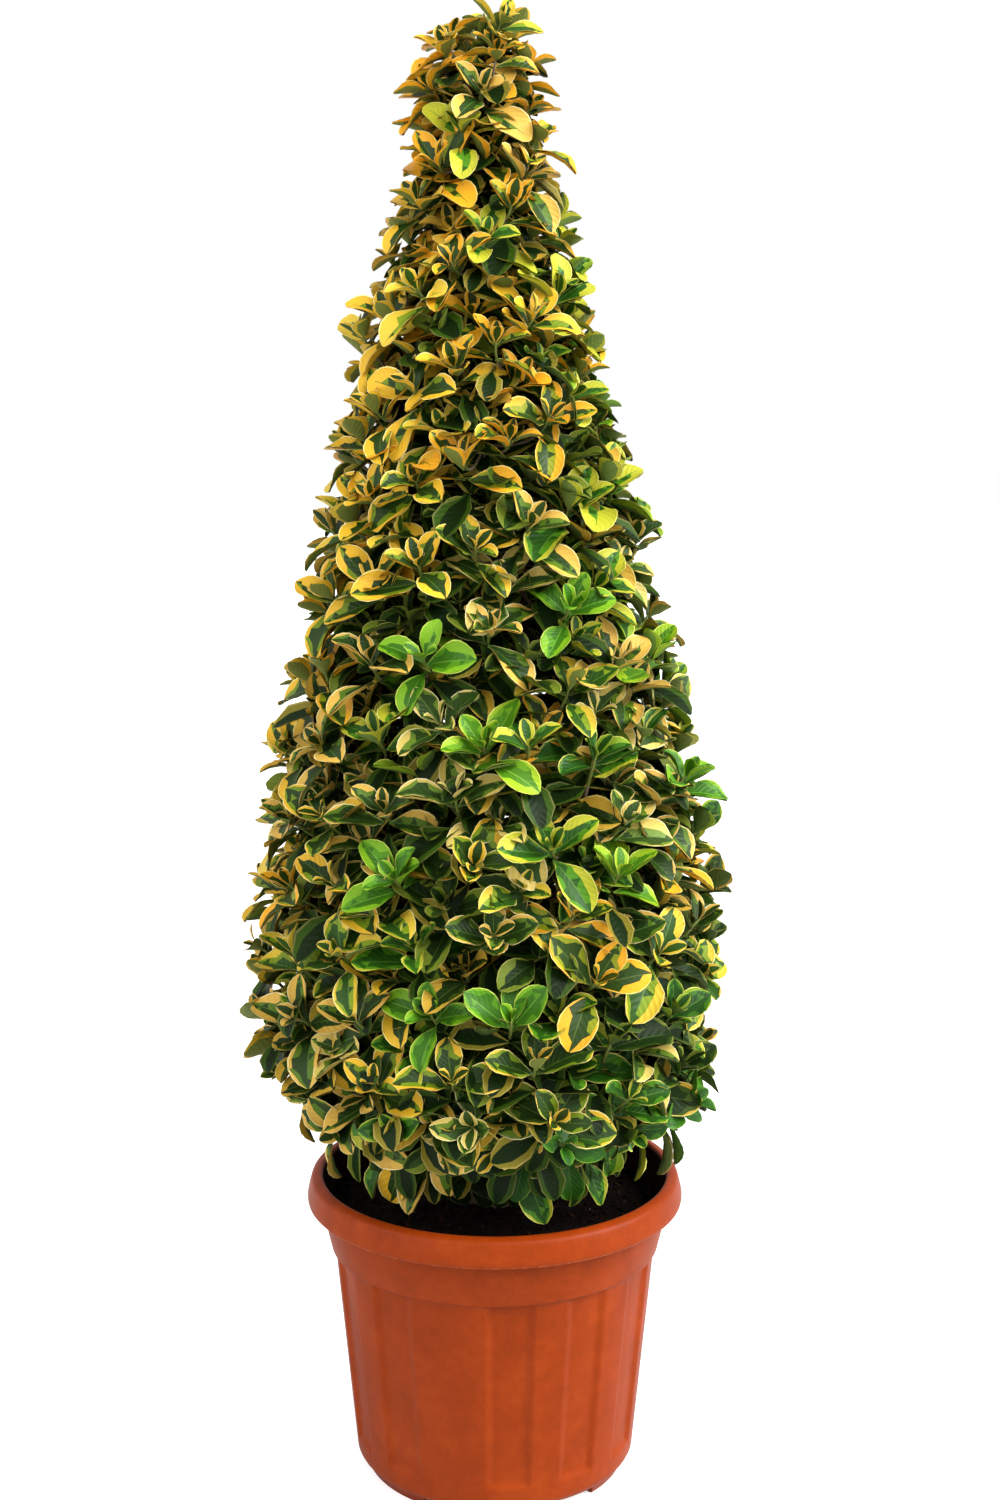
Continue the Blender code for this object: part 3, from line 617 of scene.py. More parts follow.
# %% The leader's line and the crown's outline, in metres
TRUNK_LOW, TRUNK_TIP = 0.2535, 1.316
TRUNK_RADII = ((0, 14.5), (0.15, 12), (0.45, 9), (0.75, 6.4), (0.93, 4.6), (1, 2.4))  # share, mm
TRUNK_LEAN, TRUNK_SWAY = -0.013, 0.0026
FLARE, FLARE_H, FLARE_LOBES = 0.0075, 0.045, 5
OUTLINE = (
    (0.316, 0.080), (0.324, 0.130), (0.342, 0.172), (0.362, 0.204), (0.390, 0.222), (0.440, 0.228),
    (0.520, 0.226), (0.650, 0.212), (0.760, 0.188), (0.920, 0.151), (1.080, 0.115), (1.180, 0.083),
    (1.310, 0.058), (1.336, 0.042), (1.355, 0.018),
)
TIERS = ((0.285, 0.555, 3, 18), (0.555, 0.825, 3, 76), (0.825, 1.090, 3, 134), (1.090, 1.360, 2, 38))
GOLDEN_ANGLE = math.radians(137.50776)


def between(pairs, at):
    """The value at this place in rising (place, value) pairs, along straight lines."""
    if at <= pairs[0][0]:
        return pairs[0][1]
    for (a, va), (b, vb) in zip(pairs, pairs[1:]):
        if at <= b:
            return va + (vb - va) * (at - a) / (b - a)
    return pairs[-1][1]


def clamp(value):
    return max(0.0, min(1.0, value))


def trunk_share(z):
    return clamp((z - SOIL_TOP * MM) / (TRUNK_TIP - SOIL_TOP * MM))


def trunk_centre(z):
    s = trunk_share(z)
    x = TRUNK_LEAN * s ** 0.8 + TRUNK_SWAY * math.sin(7.0 * s) * s * (1.2 - s)
    return Vector((x, TRUNK_SWAY * math.sin(5.2 * s + 0.4) * s, z))


def trunk_radius(z):
    return between(TRUNK_RADII, trunk_share(z)) * MM


def outline(z):
    return between(OUTLINE, z)


# %% Where the shears left the outline fuller or barer
BUMPS = np.array((  # degrees from the front, height, how far it stands out in mm, metres across
    (-85, 0.440, 22, 0.06), (-85, 0.345, -50, 0.05), (-60, 0.335, -20, 0.05), (-88, 0.520, 5, 0.03),
    (-90, 0.690, 4, 0.04), (-88, 0.800, -16, 0.03), (-85, 0.925, -8, 0.04), (-80, 1.080, 18, 0.025),
    (-85, 1.035, -10, 0.03), (-88, 1.265, 8, 0.03), (85, 0.440, -46, 0.04), (88, 0.345, -18, 0.03),
    (85, 0.600, -4, 0.04), (85, 0.720, -6, 0.04), (88, 0.845, -26, 0.03), (85, 0.805, 9, 0.03),
    (85, 1.020, -12, 0.05), (85, 1.180, 6, 0.04), (80, 0.640, 6, 0.03), (70, 1.330, -4, 0.03),
    (-85, 1.335, 14, 0.025), (85, 1.155, -12, 0.025), (-88, 0.643, -8, 0.03),
    (150, 0.500, -8, 0.06), (-150, 0.700, -8, 0.06), (175, 0.950, -7, 0.06),
)).T
bump_angle, bump_z, bump_rise, bump_across = np.radians(BUMPS[0] - 90), BUMPS[1], BUMPS[2] * MM, BUMPS[3]


def shears(angle, z):
    """How far the crown stands outside its even outline here."""
    angle, z = np.atleast_1d(angle)[:, None], np.atleast_1d(z)[:, None]
    off = np.abs((angle - bump_angle + math.pi) % (2 * math.pi) - math.pi)
    round_by = off * np.maximum(0.08, 0.26 - 0.17 * z)  # roughly the crown's radius at this height
    return (bump_rise * np.exp(-(round_by ** 2 + (z - bump_z) ** 2) / bump_across ** 2)).sum(1)


# %% Trunk
TRUNK_SIDES, TRUNK_RINGS = 30, 150
heights = np.linspace(TRUNK_LOW, TRUNK_TIP, TRUNK_RINGS)


def stem_width(z):
    return trunk_radius(z) + max(0.0, 1 - (z - TRUNK_LOW) / FLARE_H) ** 2 * FLARE


deselect()
bpy.ops.mesh.primitive_circle_add(
    vertices=TRUNK_SIDES, radius=stem_width(TRUNK_LOW), location=trunk_centre(TRUNK_LOW))
trunk = bpy.context.object
trunk.name = "trunk_bark"
bpy.ops.object.transform_apply(location=True)
edit()
pick_all()
for low, high in zip(heights, heights[1:]):
    bpy.ops.mesh.extrude_edges_move(TRANSFORM_OT_translate={"value": trunk_centre(high) - trunk_centre(low)})
    factor = stem_width(high) / stem_width(low)
    bpy.ops.transform.resize(value=(factor, factor, 1), center_override=trunk_centre(high))
bpy.ops.mesh.edge_face_add()
for n in range(FLARE_LOBES):  # the root ridges at the foot of the stem
    a = 2 * math.pi * n / FLARE_LOBES
    for height, spread in ((0.290, 1.05), (0.277, 1.08), (0.266, 1.10)):
        pick("VERT", lambda p: p.z < height and math.cos(math.atan2(p.y, p.x) - a) > 0.9)
        bpy.ops.transform.resize(value=(spread, spread, 1), center_override=trunk_centre(TRUNK_LOW))
pick_all()
bpy.ops.mesh.normals_make_consistent(inside=False)
leave_edit()
displace(trunk, ((0.018, 0.0022), (0.004, 0.0009)))
bpy.ops.object.shade_smooth()
print("trunk:", len(trunk.data.polygons), "faces")

# %% Bark
CRACKS_APART, UP_THE_STEM = 2.38, 0.16  # mm, and how slowly the pattern changes up the stem
bark, bark_shader = new_material("young_grey_brown_bark", "6f5d49", 0.85)
place = add_node(bark, "TexCoord").outputs["Object"]
upright = add_node(bark, "Mapping", {"Vector": place, "Scale": (1, 1, UP_THE_STEM)})
sockets = {"Vector": upright, "Scale": pattern_scale(CRACKS_APART), "Detail": 6, "Roughness": 0.7}
streaks = add_node(bark, "TexNoise", sockets)
wood = add_node(bark, "ValToRGB", {"Fac": streaks}, ((0.32, "2b2118"), (0.52, "4d4031"), (0.72, "6e604e")))
set_socket(bark, bark_shader, "Base Color", wood)
cracks = add_node(bark, "Bump", {"Height": streaks, "Strength": 0.7, "Distance": 0.0015})
set_socket(bark, bark_shader, "Normal", cracks)
trunk.data.materials.append(bark)
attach(trunk, "root")
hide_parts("trunk")
print("the trunk wears", bark.name)

# %% [markdown]
# ## One leaf, drawn on a grid
#
# A leaf of the golden-variegated form has a dark green middle, splashes of mid green round it, a golden
# margin and a thin pale rim. An image of a leaf would give that in two triangles, but it would show a flat
# card from the side. Here the bands of colour are faces, so the leaf keeps its pattern at any distance. A
# grid is laid flat, its rows are slid and scaled to the leaf's outline, and its quads are split so that a
# margin can widen along a slant. How wide the gold is changes from row to row, which gives each leaf an
# edge of its own. Then two bends cup the blade and turn its tip down.

# %% Sizes of a leaf
LEAF_ROWS = (  # share of the length, half the width as a share of the length
    (0.0, 0.016), (0.07, 0.028), (0.17, 0.105), (0.29, 0.205), (0.42, 0.285), (0.56, 0.326),
    (0.70, 0.315), (0.82, 0.258), (0.92, 0.168), (1.0, 0.034),
)
FINE_COLUMNS = (-1, -0.94, -0.78, -0.46, -0.03, 0.03, 0.46, 0.78, 0.94, 1)
MIDRIB, MIDDLE, SPLASH, MARGIN, RIM, UNDERSIDE = range(6)  # the parts of the pattern
UNDER_COLUMNS, UNDER_ROWS = (-0.97, -0.62, 0, 0.62, 0.97), (0, 2, 4, 6, 8, 9)
COARSE_COLUMNS, COARSE_ROWS = (-1, -0.9, -0.52, 0, 0.52, 0.9, 1), (0, 2, 4, 6, 8, 9)
COARSE_BANDS = (RIM, MARGIN, MIDDLE, MIDDLE, MARGIN, RIM)
UNDER_GAPS = (0.010, 0.028, 0.034, 0.028, 0.010)  # shares of the length between the faces of the blade
MIDRIB_DEPTH, WAVE = 0.014, 0.026  # shares of the length: how deep the midrib lies, how far the rim waves
SLANT = 0.42  # how far each row runs forward from the midrib to the rim, as the side veins do


# %% A flat blade
def pick_numbers(numbers):
    """Selects points by their numbers."""
    bpy.ops.mesh.select_mode(type="VERT")
    bpy.ops.mesh.select_all(action="DESELECT")
    mesh = bmesh.from_edit_mesh(bpy.context.object.data)
    mesh.verts.ensure_lookup_table()
    for number in numbers:
        mesh.verts[number].select_set(True)
    bmesh.update_edit_mesh(bpy.context.object.data)


def blade(columns, rows, gaps=None):
    """A flat leaf one unit long on the XZ plane, from its foot at the origin, facing +Y."""
    across, along = len(columns), len(rows)
    deselect()
    bpy.ops.mesh.primitive_grid_add(x_subdivisions=across - 1, y_subdivisions=along - 1, size=2,
                                    rotation=(-math.pi / 2, 0, 0))
    bpy.ops.object.transform_apply(rotation=True)
    edit()
    for n, column in enumerate(columns):
        pick_numbers(range(n, across * along, across))
        bpy.ops.transform.translate(value=(column + 1 - 2 * n / (across - 1), -gaps[n] if gaps else 0, 0))
    for n, (share, half) in enumerate(rows):
        pick_numbers(range(n * across, (n + 1) * across))
        bpy.ops.transform.translate(value=(0, 0, share - 1 + 2 * n / (along - 1)))
        bpy.ops.transform.resize(value=(half, 1, 1), center_override=(0, 0, 0))
    leave_edit()
    return bpy.context.object


def bent(leaf, cup, recurve):
    """Cups a leaf, turns its tip down, and takes its shape."""
    for axis, degrees in (("Z", cup), ("X", recurve)):
        bend = leaf.modifiers.new("bend", "SIMPLE_DEFORM")
        bend.deform_method, bend.deform_axis, bend.angle = "BEND", axis, math.radians(degrees)
    apply_modifiers(leaf)
    return shape_of(leaf)


# %% The two kinds of leaf
def leaf_template(cup, recurve, left, right, tip, seed):
    """A blade with its pattern over an underside. left, right and tip widen the gold of its margin."""
    rng = random.Random(seed)
    across, phase = len(FINE_COLUMNS), rng.uniform(0, 6)
    under = blade(UNDER_COLUMNS, [LEAF_ROWS[n] for n in UNDER_ROWS], UNDER_GAPS)
    edit()
    pick_all()
    bpy.ops.mesh.flip_normals()
    leave_edit()
    top = blade(FINE_COLUMNS, LEAF_ROWS)
    edit()
    for row, (share, half) in enumerate(LEAF_ROWS[1:-1], start=1):
        for column, place in enumerate(FINE_COLUMNS):
            wave = WAVE * abs(place) ** 3 * math.sin(phase + 9 * share + (2.1 if place > 0 else 0))
            sink = MIDRIB_DEPTH * min(1, 3 * (1 - share)) if abs(place) < 0.1 else 0
            slide = rng.uniform(-0.07, 0.07) * half if 0.1 < abs(place) < 0.9 else 0
            pick_numbers([row * across + column])
            bpy.ops.transform.translate(value=(slide, wave - sink, -SLANT * (1 - abs(place)) * half))
    for side, method in ((-1, "FIXED"), (1, "FIXED_ALTERNATE")):  # so a margin widens along a slant
        pick("FACE", lambda p: p.x * side > -1e-6)
        bpy.ops.mesh.quads_convert_to_tris(quad_method=method)
    leave_edit()
    edges, splashes = {}, {}  # how far off the midrib the gold and the splashes start, in each row
    for row, (share, _) in enumerate(LEAF_ROWS):
        for side, width in ((-1, left), (1, right)):
            gold = width * (0.35 + 0.80 * share) + tip * share ** 3
            edges[row, side] = 1.08 - 0.95 * gold + rng.uniform(-0.18, 0.14) * min(1, 0.35 + 2 * gold)
            splashes[row, side] = edges[row, side] - rng.choice((0.0, 0.0, 0.14, 0.32))
    slots = []
    for face in top.data.polygons:
        corners = [(n // across, FINE_COLUMNS[n % across]) for n in face.vertices]
        side = -1 if sum(place for _, place in corners) < 0 else 1
        off, rows = sum(abs(place) for _, place in corners) / 3, [row for row, _ in corners]
        if min(rows) == 0 or off < 0.04 and max(rows) < len(LEAF_ROWS) - 1:
            slots.append(MIDRIB)
        elif off > 0.94:
            slots.append(RIM)
        elif any(abs(place) > edges[row, side] for row, place in corners):
            slots.append(MARGIN)
        else:
            splashed = any(abs(place) > splashes[row, side] for row, place in corners)
            slots.append(SPLASH if splashed or rng.random() < 0.04 else MIDDLE)
    widths = (left, 0, 0, right)
    for n in range(len(under.data.polygons)):
        slots.append(MARGIN if widths[n % 4] > 0.2 and n > 3 else UNDERSIDE)
    under.select_set(True)
    bpy.ops.object.join()
    points, corners, sizes, uv = bent(bpy.context.object, cup, recurve)
    return points, corners, sizes, np.array(slots), uv


def coarse_template(cup, recurve):
    """A plainer blade of few faces, for the older leaves in the crown's shade."""
    leaf = blade(COARSE_COLUMNS, [LEAF_ROWS[n] for n in COARSE_ROWS])
    points, corners, sizes, uv = bent(leaf, cup, recurve)
    return points, corners, sizes, np.array([COARSE_BANDS[n % 6] for n in range(len(sizes))]), uv


# %% The leaves, from nearly green to nearly gold
FINE_LEAVES = [
    leaf_template(*shape, seed=100 + n) for n, shape in enumerate((  # cup, recurve, left, right, tip
        (70, -26, 0.02, 0.04, 0.00), (98, -44, 0.14, 0.02, 0.10), (60, -8, 0.06, 0.22, 0.12),
        (86, -40, 0.26, 0.10, 0.20), (104, -50, 0.16, 0.30, 0.10), (64, -52, 0.34, 0.16, 0.35),
        (92, -20, 0.24, 0.42, 0.20), (78, -6, 0.48, 0.28, 0.30), (66, -34, 0.36, 0.56, 0.40),
        (84, -46, 0.64, 0.44, 0.30), (56, -30, 0.58, 0.76, 0.45), (74, -58, 0.95, 0.80, 0.40),
    ))
]
COARSE_LEAVES = [coarse_template(*shape) for shape in ((60, -30), (85, -10), (45, -45))]
for kind, (points, _, sizes, _, _) in (("fine", FINE_LEAVES[0]), ("coarse", COARSE_LEAVES[0])):
    print(kind, "leaf:", int(sum(sizes - 2)), "triangles, from", points.min(0).round(3), "to",
          points.max(0).round(3))

# %% [markdown]
# ## The finish of the leaves
#
# The blade is glossy and leathery, paler below than above. Each colour of the pattern is a material of its
# own with a plain base colour, and the leaves of one spray share one set of them. A few sets are enough:
# gold, cream, lime and green, the bright greens of fresh shoots, and the dull ones of old leaves, which dust
# has robbed of their gloss. The old sets are darker, partly the old leaves' own colour and partly painted
# shade. The shaded sets are darker copies of the gold and green ones: painted shade for leaves deep in the
# crown and low down. Side veins are fine grooves, made by a wave that runs out from the midrib across the
# leaf's own UV map.

# %% Leaf materials
SETS = {  # midrib, middle, splash, margin, rim, underside
    "orange_gold": ("445c1c", "243a0b", "7c8416", "d89a1e", "e4cc74", "6c7634"),
    "deep_gold": ("445c1c", "20370b", "667c16", "d0a428", "e2d084", "6c7634"),
    "lemon_gold": ("50702a", "264810", "748a1a", "ccae34", "e2d48a", "6e7c38"),
    "cream": ("466628", "21380d", "4c6816", "c69f44", "dccc8e", "707e44"),
    "pale_cream": ("52702f", "284010", "5c7620", "c2ac58", "dcd098", "74824a"),
    "lime_edge": ("4a7024", "20480b", "427412", "a2a228", "ccc666", "647838"),
    "mid_green": ("42701c", "1b400a", "32600f", "74901e", "c4c45c", "566e32"),
    "fresh": ("5a8a28", "305e0b", "467a0e", "6a9618", "b4c454", "5a8030"),
    "fresh_lime": ("6e962c", "40700d", "5c8a10", "88a61c", "c6d05a", "688a36"),
    "plain_green": ("3c6a1c", "214c0c", "2a580e", "3a6c14", "6f9436", "4c6c2c"),
    # Darker copies of the gold and green sets: painted shade, for rosettes deep in the crown and low down.
    "shaded_gold": ("3a4a1a", "192a0a", "32440f", "a8862c", "bcaa5c", "4c5a28"),
    "shaded_green": ("36481a", "16280a", "263c0d", "5c6a1e", "8e8e46", "46562a"),
    # Old leaves: darker, partly their own colour and partly painted shade, deep in the rosettes and under the
    # crown.
    "old": ("2e3a14", "112207", "1e300b", "746a22", "988846", "3e4c24"),
    "old_green": ("2e3a14", "0f1f06", "182c0a", "2c440c", "5c602e", "38461f"),
}
PARTS = ("midrib", "middle", "splash", "margin", "rim", "underside")
GLOSS, DUSTY_GLOSS, TOP_ROUGHNESS, UNDER_ROUGHNESS = 0.22, 0.10, 0.44, 0.62
VEINS, VEIN_SLANT = 9.87, -0.55  # on each side of the midrib: about 5 mm apart on a leaf of 50 mm
LEATHER_GRAIN = 3.33  # mm
leaf_looks = []


def leaf_material(name, colour, roughness, gloss):
    look, shader = new_material(name, colour, roughness, gloss)
    where = add_node(look, "TexCoord").outputs
    on_blade = add_node(look, "SeparateXYZ", {"Vector": where["UV"]}).outputs
    from_midrib = add_node(look, "Math", {0: on_blade["X"], 1: 0.5}, operation="SUBTRACT")
    off = add_node(look, "Math", {0: from_midrib}, operation="ABSOLUTE")
    rise = add_node(look, "Math", {0: off, 1: VEIN_SLANT, 2: on_blade["Y"]}, operation="MULTIPLY_ADD")
    turns = add_node(look, "Math", {0: rise, 1: 2 * math.pi * VEINS}, operation="MULTIPLY")
    veins = add_node(look, "Math", {0: turns}, operation="SINE")
    sockets = {"Vector": where["Object"], "Scale": pattern_scale(LEATHER_GRAIN), "Detail": 3}
    leather = add_node(look, "TexNoise", sockets)
    fine = add_node(look, "Bump", {"Height": leather, "Strength": 0.22, "Distance": 0.0006})
    relief = add_node(look, "Bump", {"Height": veins, "Normal": fine, "Strength": 0.20, "Distance": 0.0007})
    set_socket(look, shader, "Normal", relief)
    return look


for set_name, colours in SETS.items():
    gloss = DUSTY_GLOSS if set_name.startswith(("shaded", "old")) else GLOSS
    for part, colour in zip(PARTS, colours):
        roughness = UNDER_ROUGHNESS if part == "underside" else TOP_ROUGHNESS
        leaf_looks.append(leaf_material(f"{set_name}_{part}", colour, roughness, gloss))
print(len(leaf_looks), "leaf materials")

# %% [markdown]
# ## Growth
#
# The shrub grows by one rule. A leader carries boughs, the boughs carry twigs, and each twig ends in a
# rosette: pairs of leaves at right angles to one another, the youngest at the heart and nearly closed, the
# oldest below and wide open. The rosettes follow one another round the crown by the golden angle, at
# heights that share its surface out evenly, and shears have clipped them all to one outline. So no
# leaf may reach past the outline: one that would is turned, shortened or closed until it fits.

# %% Where the rosettes sit
SEED, ROSETTES = 29, 520
ROSETTE_INSET, LEAF_LENGTH = 0.031, 0.0515
LIFT = 48  # degrees a rosette looks up from square to the crown's surface
FOOT_TOP, FOOT_DROOP = 0.40, 52  # below this height outer leaves open this many degrees further, and hang
LOWEST_HEART = 0.325
PAIRS = (  # mm back from the twig's end, degrees open, share of the length, fine or coarse
    (0, 15, 0.46, False), (3, 34, 0.74, True), (8, 56, 0.98, True), (16, 78, 1.04, True),
    (28, 92, 0.98, False), (44, 84, 0.85, False), (62, 80, 0.8, False),
)
TRIES = (  # turned round the twig (radians), shortened and closed by these until a leaf fits
    (0, 1, 1), (0.3, 1, 0.9), (-0.3, 1, 0.9), (0, 0.88, 0.8), (0.6, 0.92, 0.75), (-0.6, 0.92, 0.75),
    (0, 0.78, 0.6), (0, 0.66, 0.45),
)
FRESH, LIME, PLAIN = "fresh", "fresh_lime", "plain_green"
FRESH_SPOTS = (  # shoots of one green: degrees round the crown from the front, height, colours
    (-18, 0.797, FRESH), (0, 0.725, LIME), (12, 0.724, "lime_edge"), (29, 0.836, FRESH), (34, 0.610, LIME),
    (5, 0.527, FRESH), (5, 0.493, FRESH), (64, 0.790, LIME), (69, 0.678, FRESH), (150, 0.62, FRESH),
    (-140, 0.85, LIME), (-165, 0.47, FRESH), (115, 1.0, LIME), (18, 0.365, PLAIN), (62, 0.375, PLAIN),
    (-105, 0.40, PLAIN), (170, 0.38, PLAIN),
)

# %% Tables by height, for a quick test of many points
CROWN_SHIFT = ((0.40, 0.0), (0.60, -0.001), (1.08, -0.002), (1.30, 0.003))  # to the right of the stem
table_z = np.linspace(0.25, 1.36, 400)
table_x, table_y = np.array([trunk_centre(z)[:2] for z in table_z]).T
table_out, table_stem, table_shift = np.array(
    [(outline(z), trunk_radius(z), between(CROWN_SHIFT, z)) for z in table_z]).T
BOX_LOW, BOX_HIGH = np.array(CAD_LOW) + 0.0005, np.array(CAD_HIGH) - 0.0005
SOIL_CLEAR, RIM_CLEAR, RIM_INNER_R, STEM_CLEAR = 0.268, 0.2905, 0.150, 0.002


def fits(points, past):
    """Whether a leaf keeps within the clipped outline, the model's box, the rim and the stem."""
    if (points < BOX_LOW).any() or (points > BOX_HIGH).any():
        return False
    x, y, z = points.T
    if (z < SOIL_CLEAR).any() or ((z < RIM_CLEAR) & (np.hypot(x, y) > RIM_INNER_R)).any():
        return False
    x, y = x - np.interp(z, table_z, table_x), y - np.interp(z, table_z, table_y)
    if (np.hypot(x, y) < np.interp(z, table_z, table_stem) + STEM_CLEAR).any():
        return False
    x = x - np.interp(z, table_z, table_shift)
    allowed = np.interp(z, table_z, table_out) + shears(np.arctan2(y, x), z) + past
    return bool((np.hypot(x, y) < allowed).all())


def rosette_heights():
    """Heights that share out the crown's surface evenly."""
    low, high, steps = OUTLINE[0][0] + 0.002, OUTLINE[-1][0] - 0.010, 600
    area, table = 0.0, []
    for i in range(steps):
        z = low + (high - low) * (i + 0.5) / steps
        slope = (outline(z + 1e-4) - outline(z - 1e-4)) / 2e-4
        thin = 1 + 0.55 * (1 - outline(z) / 0.228)  # the narrow top needs more to look as full
        area += outline(z) * math.sqrt(1 + slope * slope) * thin
        table.append((area, z))
    return [between(table, area * (i + 0.5) / ROSETTES) for i in range(ROSETTES)]


def mass_of(z, angle):
    """The name of the mass that a rosette belongs to."""
    for tier, (low, high, count, turn) in enumerate(TIERS):
        if z + 0.018 < high or tier == len(TIERS) - 1:
            index = int((angle - math.radians(turn)) % (2 * math.pi) / (2 * math.pi / count))
            return f"{'abcd'[tier]}{index + 1}"


def at(radius, angle, z):
    centre = trunk_centre(z)
    return Vector((centre.x + between(CROWN_SHIFT, z) + radius * math.cos(angle),
                   centre.y + radius * math.sin(angle), z))


def level(angle):
    """The level directions away from the trunk and round it."""
    c, s = math.cos(angle), math.sin(angle)
    return Vector((c, s, 0)), Vector((-s, c, 0))


# %% Boughs
def tube(path, radii, sides, slot):
    """A tapering limb through these points, as a part for joined(). Its far end is closed."""
    path = [Vector(p) for p in path]
    points, uv = [], []
    across = (path[1] - path[0]).orthogonal().normalized()
    for n, (p, r) in enumerate(zip(path, radii)):
        along = (path[min(n + 1, len(path) - 1)] - path[max(n - 1, 0)]).normalized()
        across = (across - along * across.dot(along)).normalized()
        other = along.cross(across)
        for k in range(sides):
            a = 2 * math.pi * k / sides
            points.append(p + (across * math.cos(a) + other * math.sin(a)) * r)
    end = (len(path) - 1) * sides
    starts = [(n + k, n + (k + 1) % sides) for n in range(0, end, sides) for k in range(sides)]
    quads = [(a, b, b + sides, a + sides) for a, b in starts]
    corners = np.array([c for quad in quads for c in quad] + list(range(end, end + sides)))
    sizes = np.array([4] * len(quads) + [sides])
    slots = np.array([slot(n) for n in range(len(path) - 1) for _ in range(sides)] + [slot(len(path) - 2)])
    return np.array(points), corners, sizes, slots, np.zeros((len(corners), 2))


def curve(start, middle, end, steps):
    """Points along a curve that sets out towards the middle point and arrives from it."""
    shares = [n / steps for n in range(steps + 1)]
    return [start * (1 - t) ** 2 + middle * 2 * t * (1 - t) + end * t * t for t in shares]


BOUGHS_PER_MASS = 7
twig_parts, boughs = {}, {}
for tier, (low, high, count, turn) in enumerate(TIERS):
    for index in range(count):
        name = f"{'abcd'[tier]}{index + 1}"
        rng = random.Random(f"boughs {SEED} {name}")
        twig_parts[name], boughs[name] = [], []
        for n in range(BOUGHS_PER_MASS):
            share = (n + 0.5) / BOUGHS_PER_MASS
            angle = math.radians(turn) + 2 * math.pi / count * (index + (n * 0.618 + 0.3) % 1)
            z_end = max(low + 0.02, OUTLINE[0][0] + 0.03) + (high - low - 0.06) * share
            reach = outline(z_end) * rng.uniform(0.52, 0.64)
            z_start = max(0.300, z_end - 0.35 * reach - 0.02)
            start, end = trunk_centre(z_start), at(reach, angle, min(z_end + 0.02, 1.30))
            middle = at(reach * 0.55, angle + rng.uniform(-0.25, 0.25), z_start + 0.25 * (z_end - z_start))
            path = curve(start, middle, end, 9)
            thick = trunk_radius(z_start) * rng.uniform(0.42, 0.55)
            radii = [thick * (1 - 0.62 * k / 9) for k in range(10)]
            twig_parts[name].append(tube(path, radii, 7, lambda n: 0))
            boughs[name] += list(zip(path, radii))[3:]
print(sum(len(parts) for parts in twig_parts.values()), "boughs")


# %% The colours of a spray
def leaf_set(rng, up, left, low, deep):
    """Draws the spray's set of colours. Gold gathers at the top and the left, partly as painted light on the
    lit top. Low down, most on the right, and inside, the darker shaded sets give painted shade.
    """
    # dim: how much painted shade darkens the sprays, low down and most on the right
    dim = low * (1 - left) / 2
    chances = {
        "orange_gold": (0.10 + 0.30 * up + 0.10 * left * up) * (1 - 0.7 * dim),
        "deep_gold": (0.20 + 0.12 * left) * (1 - 0.7 * dim),
        "lemon_gold": (0.20 - 0.06 * up) * (1 - 0.6 * dim),
        "cream": (0.22 - 0.14 * up) * (1 - 0.4 * dim), "pale_cream": 0.06 - 0.04 * up,
        "lime_edge": 0.12 - 0.07 * left, "mid_green": 0.10 - 0.04 * up - 0.07 * left + 0.08 * dim,
        "fresh": 0.006 - 0.006 * left, "shaded_gold": 0.5 * deep + 0.2 * low,
        "shaded_green": 0.4 * deep + 0.5 * dim,
    }
    return rng.choices(list(chances), [max(0.0, c) for c in chances.values()])[0]


# %% Set a leaf in its place
def placed(template, root, side, up, along, length, width):
    """The points of a leaf template, set on its root."""
    turn = np.array([side * (length * width), up * length, along * length])
    return template[0] @ turn + np.array(root)


def rolled(up, side, twist):
    """Turns a leaf about its own length."""
    c, s = math.cos(twist), math.sin(twist)
    return up * c + side * s, side * c - up * s


def add_leaf(name, points, template, colours):
    _, corners, sizes, slots, uv = template
    leaf_parts[name].append((points, corners, sizes, slots + set_first[colours], uv))


leaf_parts = {name: [] for name in twig_parts}
set_first = {name: len(PARTS) * n for n, name in enumerate(SETS)}
counts = {"fine": 0, "coarse": 0, "left out": 0}

